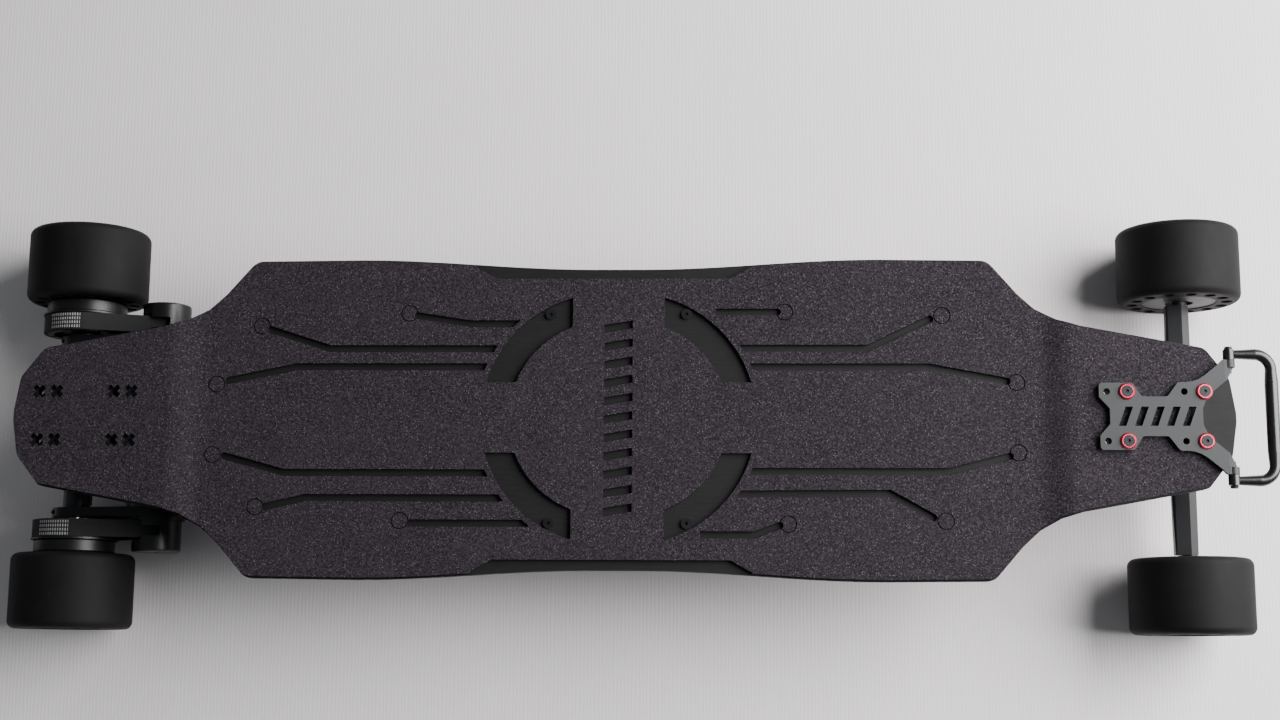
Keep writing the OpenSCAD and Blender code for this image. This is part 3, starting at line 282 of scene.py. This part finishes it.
def coated_metal(name, colour, rough, grain_scale=1600, depth=0.05, metallic=0.0, gloss=0.0):
    """Powder coat or anodising: an even skin with fine orange peel and faint handling marks."""
    p = Paint(name, coat_weight=gloss, coat_roughness=0.12)
    here = p.place()
    peel = p.noise(here, grain_scale, 2, 0.5)
    mark = p.noise(here, 45, 4, 0.65)
    body = p.mix(mark.fade(0.35, 0.75), [c * 0.86 for c in colour], [c * 1.16 for c in colour])
    p.set(base_color=body, metallic=metallic, roughness=rough + (mark - 0.5) * 0.16 + (peel - 0.5) * 0.1,
          normal=p.bump(peel, depth * MM, 0.6))
    return p.material


def bare_metal(name, colour, rough, radius_of=None, along=(1, 1, 1)):
    """Machined or plated metal: turning marks round an axle, or a brushed grain, and light staining."""
    p = Paint(name)
    stain = p.noise(p.place(), 60, 4, 0.6)
    if radius_of:
        line = (radius_of(p) * 11000).sine() * 0.5 + 0.5
    else:
        line = p.noise(p.place(stretch=along), 900, 2, 0.6)
    body = p.mix(stain.fade(0.4, 0.8), colour, [c * 0.72 for c in colour])
    p.set(base_color=body, metallic=1.0, roughness=rough + line * 0.12 + stain * 0.1,
          normal=p.bump(line, 0.012 * MM, 0.5))
    return p.material


def moulded(name, colour, rough, grain_scale=1100, depth=0.06):
    """Moulded plastic or rubber with a spark-eroded grain and a slight dusting."""
    p = Paint(name, specular_ior_level=0.45)
    here = p.place()
    grain = p.cells(here, grain_scale)
    dust = p.noise(here, 24, 5, 0.62)
    body = p.mix(dust.fade(0.45, 0.8), colour, [c * 1.5 + 0.002 for c in colour])
    p.set(base_color=body, roughness=rough + (dust - 0.5) * 0.18, normal=p.bump(grain, depth * MM, 0.6))
    return p.material


def tyre_finish(look):
    """Satin black rubber: turned side faces, a seam round the tread, scuffs and dust."""
    p = Paint("tyre_rubber", specular_ior_level=0.13)
    here = p.place()
    _, y, _ = p.axes(here)
    radius = axle_radius(p)
    tread = radius.fade(48 * MM, 51.5 * MM)
    low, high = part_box("tyre_front_left")
    seam = 1 - abs(abs(y) - (low.y + high.y) / 2).fade(0.15 * MM, 0.5 * MM)
    rings = (radius * 5200).sine() * 0.5 + 0.5
    scuff = p.noise(p.place(stretch=(1, 0.4, 1)), 160, 5, 0.7)
    dust = p.noise(here, 34, 4, 0.6)
    grain = p.noise(here, 1800, 2, 0.6)
    dark = tuple(look.tyre_colour)
    body = p.mix(dust.fade(0.35, 0.75), dark, [c * 1.5 for c in dark])
    body = p.mix(scuff.fade(0.62, 0.8) * tread * 0.5, body, [c * 2.6 for c in dark])
    height = grain * 0.5 + seam * tread * 0.3 + rings * (1 - tread) * 0.5 + scuff * tread
    p.set(base_color=body, roughness=0.6 + (dust - 0.5) * 0.2 + scuff * tread * 0.12,
          normal=p.bump(height, 0.1 * MM, 0.6))
    return p.material


def bearing_finish():
    """Ball bearing: a dark shield between two ground steel races."""
    p = Paint("bearing_steel")
    radius = axle_radius(p)
    shield_inner, shield_outer, blur = 6.0 * MM, 9.05 * MM, 0.15 * MM
    shield = (radius.fade(shield_inner, shield_inner + blur)
              * (1 - radius.fade(shield_outer, shield_outer + blur)))
    stain = p.noise(p.place(), 220, 3, 0.6)
    line = (radius * 14000).sine()
    p.set(base_color=p.mix(shield, (0.5, 0.5, 0.52), (0.03, 0.032, 0.036)), metallic=1 - shield * 0.85,
          roughness=0.22 + shield * 0.2 + stain * 0.12, normal=p.bump(line, 0.01 * MM, 0.4))
    return p.material


def belt_finish():
    """Rubber belt: ground back with faint cross lines and a run of plain printed ticks."""
    p = Paint("belt_rubber", specular_ior_level=0.4)
    here = p.place(AXLE_REAR)
    x, y, z = p.axes(here)
    lines = (x * 5600).sine() * 0.5 + 0.5
    worn = p.noise(here, 500, 3, 0.6)
    side = abs(y)
    row_start, row_pitch, row_height = 84.4, 3.5, 2.3
    tick_start, tick_pitch, tick_width = -120, 2.2, 1.1
    across = (side > 84.2 * MM) * (side < 97.4 * MM)
    along = (x > -22 * MM) * (x < 6 * MM)
    rows = ((side * 1000 - row_start) % row_pitch < row_height) * across
    ticks = ((x * 1000 - tick_start) % tick_pitch < tick_width) * along
    ink = rows * ticks * (abs(z) > 20 * MM)
    p.set(base_color=p.mix(ink * 0.75, (0.006, 0.006, 0.0065), (0.42, 0.42, 0.4)),
          roughness=0.72 + worn * 0.15, normal=p.bump(lines * 0.4 + worn, 0.08 * MM, 0.5))
    return p.material


def board_finish():
    """Circuit board: green solder mask over a mesh of tracks and bright pads."""
    p = Paint("circuit_board", coat_weight=0.4, coat_roughness=0.2)
    x, y, _ = p.axes(p.place())
    track = abs((x * 1000) % 3.2 - 1.6).fade(0.5, 0.35) * (p.noise(p.place(), 90, 1) > 0.5)
    cross = abs((y * 1000) % 4.1 - 2.0).fade(0.5, 0.35) * (p.noise(p.place((3, 0, 0)), 70, 1) > 0.5)
    lines = track.most(cross)
    pads = p.cells(p.place(), 190) < 0.16
    body = p.mix(lines, (0.012, 0.07, 0.03), (0.03, 0.15, 0.06))
    p.set(base_color=p.mix(pads, body, (0.6, 0.58, 0.5)), metallic=pads, roughness=0.5 - pads * 0.2,
          normal=p.bump(lines + pads, 0.04 * MM, 0.6))
    return p.material


def cell_finish():
    """Battery cells: tight blue sleeve with shrink ripples and bright nickel ends."""
    p = Paint("cell_wrap")
    here = p.place()
    _, y, _ = p.axes(here)
    ripple = p.noise(p.place(stretch=(1, 0.12, 1)), 260, 3, 0.5)
    row_middle, sleeve_end = 37 * MM, 34.4 * MM
    end = abs(abs(y) - row_middle).fade(sleeve_end, sleeve_end + 0.5 * MM)
    p.set(base_color=p.mix(end, p.mix(ripple, (0.02, 0.09, 0.26), (0.03, 0.14, 0.36)), (0.55, 0.54, 0.5)),
          metallic=end, roughness=0.3 + ripple * 0.15, normal=p.bump(ripple, 0.2 * MM, 0.4))
    return p.material


def sleeve_finish():
    """Braided nylon sleeve, crossed along the piece's own UV map."""
    p = Paint("cable_sleeve", specular_ior_level=0.4)
    along = p.node("ShaderNodeUVMap", output="UV")
    u, v, _ = p.axes(along)
    strands = 14
    left = ((u * strands + v) * math.tau).sine()
    right = ((u * strands - v) * math.tau).sine()
    weave = left.most(right) * 0.5 + 0.5
    fuzz = p.noise(p.place(), 1400, 2, 0.6)
    body = p.mix(weave.fade(0.3, 0.9), (0.004, 0.004, 0.005), (0.03, 0.03, 0.032))
    p.set(base_color=body, roughness=0.62 + fuzz * 0.15, normal=p.bump(weave, 0.35 * MM, 0.8))
    return p.material


def make_finishes(look):
    """One material for each of the record's slots."""
    red = tuple(look.washer_colour)
    return {
        "deck_laminate": laminate_finish(),
        "grip_foam": foam_finish(look),
        "bracket_metal": coated_metal("bracket_metal", (0.0095, 0.0110, 0.0120), 0.55, 2100, 0.07),
        "red_anodised": coated_metal("red_anodised", red, 0.3, 2600, 0.02, 0.75, 0.3),
        "black_steel": coated_metal("black_steel", (0.016, 0.016, 0.018), 0.36, 2300, 0.03, 0.6),
        "bright_steel": bare_metal("bright_steel", (0.5, 0.5, 0.52), 0.24, axle_radius),
        "soft_rubber": moulded("soft_rubber", (0.013, 0.013, 0.014), 0.78, 1500, 0.09),
        "truck_casting": coated_metal("truck_casting", (0.008, 0.008, 0.0095), 0.42, 1300, 0.09, 0.1, 0.08),
        "bushing_urethane": moulded("bushing_urethane", (0.22, 0.02, 0.035), 0.4, 700, 0.03),
        "box_plastic": moulded("box_plastic", (0.014, 0.014, 0.015), 0.6, 1250, 0.1),
        "cell_wrap": cell_finish(),
        "circuit_board": board_finish(),
        "sink_metal": bare_metal("sink_metal", (0.42, 0.42, 0.44), 0.34, None, (0.03, 1, 1)),
        "cable_sleeve": sleeve_finish(),
        "handle_gloss": coated_metal("handle_gloss", (0.004, 0.004, 0.0045), 0.3, 800, 0.03, 0.0, 0.2),
        "button_metal": bare_metal("button_metal", (0.45, 0.45, 0.47), 0.28, None, (0.05, 1, 1)),
        "mount_metal": coated_metal("mount_metal", (0.008, 0.008, 0.009), 0.38, 2400, 0.03, 0.4),
        "motor_black": coated_metal("motor_black", (0.006, 0.006, 0.0065), 0.34, 1700, 0.05, 0.1, 0.15),
        "belt_rubber": belt_finish(),
        "cover_plastic": moulded("cover_plastic", (0.004, 0.004, 0.0045), 0.36, 1600, 0.05),
        "pulley_metal": coated_metal("pulley_metal", (0.006, 0.006, 0.0065), 0.4, 2200, 0.03, 0.3),
        "tyre_rubber": tyre_finish(look),
        "core_plastic": moulded("core_plastic", (0.007, 0.007, 0.0075), 0.5, 1500, 0.04),
        "bearing_steel": bearing_finish(),
    }


# ---------------------------------------------------------------- pieces


def piece(name, bm, slot, body, smooth=SOFT_ANGLE, crisp=None):
    """Makes an object of a bmesh: outward faces, the slot's material and a ride on its body.
    Edges sharper than smooth stay crisp, and so do those that crisp picks out."""
    bmesh.ops.remove_doubles(bm, verts=bm.verts, dist=WELD)
    bmesh.ops.recalc_face_normals(bm, faces=bm.faces)
    mesh = bpy.data.meshes.new(name)
    for edge in bm.edges:
        soft = len(edge.link_faces) == 2 and edge.calc_face_angle(0) < smooth
        edge.smooth = soft and not (crisp and crisp(edge))
    for face in bm.faces:
        face.smooth = True
    bm.to_mesh(mesh)
    bm.free()
    obj = bpy.data.objects.new(name, mesh)
    bpy.context.scene.collection.objects.link(obj)
    mesh.materials.append(bpy.data.materials[slot + "_finish"])
    if body:
        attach(obj, body)
    return obj


def turned(bm, points, centre, axis, steps, closed=True):
    """A surface turned from an outline of points round an axis; a closed outline gives a ring."""
    verts = [bm.verts.new(p) for p in points]
    pairs = list(zip(verts, verts[1:]))
    if closed:
        pairs.append((verts[-1], verts[0]))
    edges = [bm.edges.new(pair) for pair in pairs]
    bmesh.ops.spin(bm, geom=verts + edges, cent=centre, axis=axis, angle=math.tau, steps=steps,
                   use_merge=True)


def quarter(centre, radius, start, steps):
    """Points on a quarter circle round centre, from the angle start."""
    return [(centre[0] + radius * math.cos(start + turn), centre[1] + radius * math.sin(start + turn))
            for turn in (math.pi / 2 * step / steps for step in range(steps + 1))]


def moulded_tyre(wheel):
    """A tyre with crisp shoulders, and softened mouths on its fourteen cushioning holes."""
    low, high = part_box("tyre_" + wheel)
    centre = (low + high) / 2
    tread = (high.z - low.z) / 2
    near, far = low.y, high.y
    bore, bore_edge, shoulder, mouth = 31 * MM, 0.6 * MM, 6.5 * MM, 0.8 * MM
    inner_rim, outer_rim = HOLE_RING - 6 * MM, HOLE_RING + 5.6 * MM
    shoulder_steps, tyre_steps, hole_steps = 7, 128, 24
    bm = bmesh.new()
    outside = [(outer_rim, near),
               *quarter((tread - shoulder, near + shoulder), shoulder, -math.pi / 2, shoulder_steps),
               *quarter((tread - shoulder, far - shoulder), shoulder, 0, shoulder_steps),
               (outer_rim, far)]
    inside = [(inner_rim, near), (bore + bore_edge, near), (bore, near + bore_edge),
              (bore, far - bore_edge), (bore + bore_edge, far), (inner_rim, far)]
    for outline in (outside, inside):
        points = [(centre.x + r, y, centre.z) for r, y in outline]
        turned(bm, points, centre, (0, 1, 0), tyre_steps, closed=False)
    for place in range(TYRE_HOLES):
        angle = (place + 0.5) * math.tau / TYRE_HOLES
        mid = centre + Vector((math.cos(angle), 0, math.sin(angle))) * HOLE_RING
        wall = ((HOLE_RADIUS + mouth, near), (HOLE_RADIUS, near + mouth),
                (HOLE_RADIUS, far - mouth), (HOLE_RADIUS + mouth, far))
        turned(bm, [(mid.x + r, y, mid.z) for r, y in wall], mid, (0, 1, 0), hole_steps, closed=False)
    bmesh.ops.remove_doubles(bm, verts=bm.verts, dist=WELD)
    for face_y in (near, far):
        rims = [edge for edge in bm.edges
                if edge.is_boundary and all(abs(v.co.y - face_y) < 0.01 * MM for v in edge.verts)]
        bmesh.ops.triangle_fill(bm, use_beauty=True, edges=rims)
    tyre = piece("moulded_tyre_" + wheel, bm, "tyre_rubber", "wheel_" + wheel)
    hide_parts("tyre_" + wheel)
    return tyre


def pulley_drum(side):
    """Drum that fills the space between a wheel pulley's flange and the tyre."""
    low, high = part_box("wheel_pulley_" + side)
    centre = (low + high) / 2
    rim = (high.z - low.z) / 2
    out = 1 if side == "left" else -1
    far_face, width, gap = max(abs(low.y), abs(high.y)), 11.2 * MM, 0.4 * MM
    outer = far_face - gap
    inner = outer - width
    hub, drum = 23.7 * MM, rim - 2.6 * MM
    inner_edge, outer_edge, drum_steps = 1 * MM, 1.5 * MM, 96
    outline = [(hub, inner), (drum - inner_edge, inner), (drum, inner + inner_edge),
               (drum, outer - outer_edge), (drum - outer_edge, outer), (hub, outer)]
    bm = bmesh.new()
    turned(bm, [(centre.x + r, out * y, centre.z) for r, y in outline], centre, (0, 1, 0), drum_steps)
    return piece("pulley_drum_" + side, bm, "pulley_metal", "wheel_rear_" + side)


def top_border(edge):
    """Whether an edge parts the walked-on face, ramps included, from a rim or a wall."""
    least_rise = 0.935
    return len({face.normal.z > least_rise for face in edge.link_faces}) == 2


def rounded_foam():
    """The grip foam with soft, slightly crushed edges."""
    level, upright, rounding, soft_angle = 0.9, 0.2, 0.7 * MM, 1.2
    bm = bmesh.new()
    bm.from_mesh(NODES["grip_foam"].data)
    bmesh.ops.remove_doubles(bm, verts=bm.verts, dist=0.01 * MM)
    bmesh.ops.dissolve_limit(bm, angle_limit=math.radians(0.6), verts=bm.verts, edges=bm.edges)
    bm.normal_update()
    rim = []
    for edge in bm.edges:
        if len(edge.link_faces) == 2:
            slopes = sorted(face.normal.z for face in edge.link_faces)
            if slopes[1] > level and abs(slopes[0]) < upright:
                rim.append(edge)
    bmesh.ops.bevel(bm, geom=rim, offset=rounding, offset_type="OFFSET", segments=2, profile=0.5,
                    affect="EDGES", clamp_overlap=True, material=-1)
    foam = piece("foam_sheet", bm, "grip_foam", "board", soft_angle, top_border)
    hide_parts("grip_foam")
    return foam


def smooth_path(points, steps):
    """Points along a smooth curve through the given ones."""
    points = [Vector(p) for p in points]
    ends = [2 * points[0] - points[1], *points, 2 * points[-1] - points[-2]]
    path = []
    for a, b, c, d in zip(ends, ends[1:], ends[2:], ends[3:]):
        for step in range(steps):
            t = step / steps
            path.append(0.5 * (2 * b + (c - a) * t + (2 * a - 5 * b + 4 * c - d) * t ** 2
                               + (3 * b - a - 3 * c + d) * t ** 3))
    return path + [points[-1]]


def tube(bm, path, radius, sides=16):
    """Closed tube along a path, with u round it and v along it in the UV map."""
    uv = bm.loops.layers.uv.verify()
    place = {}
    first = (path[1] - path[0]).to_track_quat("Z", "Y").to_matrix().to_4x4()
    made = bmesh.ops.create_circle(bm, cap_ends=True, segments=sides, radius=radius,
                                   matrix=Matrix.Translation(path[0]) @ first)
    ring = made["verts"]
    for index, vert in enumerate(ring):
        place[vert] = (index, 0)
    edges = list({e for v in ring for e in v.link_edges})
    before = path[1] - path[0]
    for step in range(1, len(path)):
        after = path[min(step + 1, len(path) - 1)] - path[step - 1]
        made = bmesh.ops.extrude_edge_only(bm, edges=edges)["geom"]
        verts = [v for v in made if isinstance(v, bmesh.types.BMVert)]
        edges = [e for e in made if isinstance(e, bmesh.types.BMEdge)]
        turn = Matrix.Translation(path[step]) @ before.rotation_difference(after).to_matrix().to_4x4()
        bmesh.ops.transform(bm, verts=verts, matrix=turn @ Matrix.Translation(-path[step - 1]))
        for vert in verts:
            below = next(e.other_vert(vert) for e in vert.link_edges if e.other_vert(vert) in place)
            place[vert] = (place[below][0], step)
        before = after
    bmesh.ops.contextual_create(bm, geom=edges)
    for face in bm.faces:
        if len(face.verts) != 4 or any(v not in place for v in face.verts):
            continue
        around = [place[v][0] for v in face.verts]
        for loop, turn in zip(face.loops, around):
            if max(around) - min(around) > 1 and turn == 0:
                turn = sides
            loop[uv].uv = (turn / sides, place[loop.vert][1] * 0.4)
    return bm


def motor_leads(name, side):
    """Braided sleeve with the motor's leads, bending between the truck and the battery box."""
    low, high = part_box("motor_cables")
    y, radius, path_steps = side * 39.5 * MM, 4.3 * MM, 6
    lift, run = high.z - low.z, high.x - low.x
    shares = ((0, 0.08), (0.15, 0.09), (0.26, 0.16), (0.36, 0.32), (0.47, 0.53), (0.6, 0.76),
              (0.72, 0.87), (0.86, 0.9), (1, 0.9))
    route = [(low.x + run * a, y, low.z + lift * b) for a, b in shares]
    bm = tube(bmesh.new(), smooth_path(route, path_steps), radius)
    sleeve = piece(name, bm, "cable_sleeve", None)
    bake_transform(sleeve)
    return sleeve


# ---------------------------------------------------------------- settings


class SkateboardLook(bpy.types.PropertyGroup):
    """Colours and sizes that a user would change."""

    foam_colour: FloatVectorProperty(
        name="Foam colour", description="Colour of the grip foam", subtype="COLOR",
        default=(0.0138, 0.0113, 0.0138), min=0, max=1)
    fleck_colour: FloatVectorProperty(
        name="Fleck colour", description="Colour of the pale flecks in the foam", subtype="COLOR",
        default=(0.085, 0.078, 0.092), min=0, max=1)
    fleck_scale: FloatProperty(
        name="Fleck density", description="Cells of fleck to the metre", default=760, min=200, max=2000)
    fleck_share: FloatProperty(
        name="Fleck share", description="Share of the cells that hold a fleck", subtype="FACTOR",
        default=0.16, min=0, max=1)
    tyre_colour: FloatVectorProperty(
        name="Tyre colour", description="Colour of the tyres", subtype="COLOR",
        default=(0.0042, 0.0041, 0.0044), min=0, max=1)
    washer_colour: FloatVectorProperty(
        name="Washer colour", description="Colour of the anodised cup washers", subtype="COLOR",
        default=(0.62, 0.05, 0.10), min=0, max=1)


class StudioSettings(bpy.types.PropertyGroup):
    """Camera, floor and light."""

    focal_length: FloatProperty(
        name="Focal length", description="Camera lens for a 36 mm sensor", unit="CAMERA",
        default=51.16, min=20, max=200)
    camera_place: FloatVectorProperty(
        name="Camera place", description="Where the camera stands", subtype="TRANSLATION", unit="LENGTH",
        default=(0.0654, -0.2034, 1.63835))
    floor_colour: FloatVectorProperty(
        name="Floor colour", description="Colour of the plain floor", subtype="COLOR",
        default=(0.745, 0.705, 0.70), min=0, max=1)
    key_power: FloatProperty(
        name="Key light", description="Power of the large soft light", unit="POWER", default=155, min=0)
    fill_power: FloatProperty(
        name="Fill light", description="Power of the weak light from the other side", unit="POWER",
        default=3, min=0)
    sky: FloatProperty(
        name="Room light", description="Brightness of the even light from all round", default=0.17, min=0)


# ---------------------------------------------------------------- operators


class SKATE_OT_stage(bpy.types.Operator):
    """Sets up the camera, the pale floor and the soft lights"""

    bl_idname = "skate.stage"
    bl_label = "Studio"

    def execute(self, context):
        studio = context.scene.skate_studio
        camera = bpy.data.objects.new("camera", bpy.data.cameras.new("camera"))
        camera.data.lens = studio.focal_length
        tilt, roll, turn = 0.16529, 0.03554, 0.00638
        aim = Matrix.Rotation(roll, 4, "Y") @ Matrix.Rotation(tilt, 4, "X") @ Matrix.Rotation(turn, 4, "Z")
        camera.matrix_world = Matrix.Translation(studio.camera_place) @ aim
        context.scene.collection.objects.link(camera)
        context.scene.camera = camera

        bm = bmesh.new()
        half_floor = 5
        bmesh.ops.create_grid(bm, x_segments=1, y_segments=1, size=half_floor)
        mesh = bpy.data.meshes.new("floor")
        bm.to_mesh(mesh)
        bm.free()
        floor = bpy.data.objects.new("floor", mesh)
        context.scene.collection.objects.link(floor)
        mesh.materials.append(self.floor_finish(studio))

        key_place, key_size = (1.6, 0.45, 1.2), 2.0
        fill_place, fill_size = (-1.9, -1.4, 1.6), 1.8
        self.light(context, "key_light", key_place, key_size, studio.key_power)
        self.light(context, "fill_light", fill_place, fill_size, studio.fill_power)
        world = bpy.data.worlds.new("room")
        world.use_nodes = True
        sky = world.node_tree.nodes["Background"]
        sky.inputs["Color"].default_value = (0.86, 0.93, 1.0, 1.0)
        sky.inputs["Strength"].default_value = studio.sky
        context.scene.world = world
        return {"FINISHED"}

    def floor_finish(self, studio):
        """Pale woven backing with fine upright ribs."""
        p = Paint("floor_cloth", specular_ior_level=0.2)
        here = p.place()
        x, _, _ = p.axes(here)
        wobble = p.noise(p.place(stretch=(1, 0.1, 1)), 160, 2)
        rib_rate, stray = 1900, 5.4
        ribs = (x * rib_rate + wobble * stray).sine()
        slubs = p.noise(p.place(stretch=(1, 0.25, 1)), 420, 3, 0.6)
        tone = p.noise(here, 5, 3)
        pale = tuple(studio.floor_colour)
        body = p.mix(tone.fade(0.3, 0.7), [c * 0.97 for c in pale], pale)
        p.set(base_color=body, roughness=0.92, normal=p.bump(ribs * 0.3 + slubs, 0.5 * MM, 0.22))
        return p.material

    def light(self, context, name, place, size, power):
        lamp = bpy.data.lights.new(name, "AREA")
        lamp.shape = "DISK"
        lamp.size = size
        lamp.energy = power
        obj = bpy.data.objects.new(name, lamp)
        obj.location = place
        obj.rotation_euler = (-Vector(place)).to_track_quat("-Z", "Y").to_euler()
        context.scene.collection.objects.link(obj)


class SKATE_OT_finishes(bpy.types.Operator):
    """Gives every carried-over part the finish of its slot"""

    bl_idname = "skate.finishes"
    bl_label = "Finishes"

    def execute(self, context):
        finishes = make_finishes(context.scene.skate_look)
        for part in frame["record"]["subparts"]:
            node = NODES[part["node"]]
            node.data.materials.clear()
            node.data.materials.append(finishes[part["material_slot"]])
        return {"FINISHED"}


class SKATE_OT_tyres(bpy.types.Operator):
    """Makes the four tyres"""

    bl_idname = "skate.tyres"
    bl_label = "Tyres"

    def execute(self, context):
        for wheel in WHEELS:
            moulded_tyre(wheel)
        return {"FINISHED"}


class SKATE_OT_drums(bpy.types.Operator):
    """Makes the drums between the wheel pulleys and the rear tyres"""

    bl_idname = "skate.drums"
    bl_label = "Pulley drums"

    def execute(self, context):
        for side in ("left", "right"):
            pulley_drum(side)
        return {"FINISHED"}


class SKATE_OT_foam(bpy.types.Operator):
    """Rounds the edges of the grip foam"""

    bl_idname = "skate.foam"
    bl_label = "Grip foam"

    def execute(self, context):
        rounded_foam()
        return {"FINISHED"}


class SKATE_OT_leads(bpy.types.Operator):
    """Makes the two braided motor leads"""

    bl_idname = "skate.leads"
    bl_label = "Motor leads"

    def execute(self, context):
        left = motor_leads("motor_lead_left", 1)
        motor_leads("motor_lead_right", -1)
        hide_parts("motor_cables")
        return {"FINISHED"}


class SKATE_PT_panel(bpy.types.Panel):
    """Lists the skateboard's settings and steps"""

    bl_label = "Skateboard"
    bl_idname = "SKATE_PT_panel"
    bl_space_type = "VIEW_3D"
    bl_region_type = "UI"
    bl_category = "Skateboard"

    def draw(self, context):
        for group in (context.scene.skate_look, context.scene.skate_studio):
            for name in group.__annotations__:
                self.layout.prop(group, name)
        for step in STEPS:
            self.layout.operator(step.bl_idname)


STEPS = (SKATE_OT_stage, SKATE_OT_finishes, SKATE_OT_foam, SKATE_OT_tyres, SKATE_OT_drums,
         SKATE_OT_leads)
CLASSES = (SkateboardLook, StudioSettings, *STEPS, SKATE_PT_panel)


def register():
    for item in CLASSES:
        bpy.utils.register_class(item)
    bpy.types.Scene.skate_look = PointerProperty(type=SkateboardLook)
    bpy.types.Scene.skate_studio = PointerProperty(type=StudioSettings)


def unregister():
    del bpy.types.Scene.skate_studio
    del bpy.types.Scene.skate_look
    for item in reversed(CLASSES):
        bpy.utils.unregister_class(item)


def main():
    register()
    bpy.ops.skate.stage()
    bpy.ops.skate.finishes()
    bpy.ops.skate.foam()
    bpy.ops.skate.tyres()
    bpy.ops.skate.drums()
    bpy.ops.skate.leads()


if __name__ == "__main__":
    main()
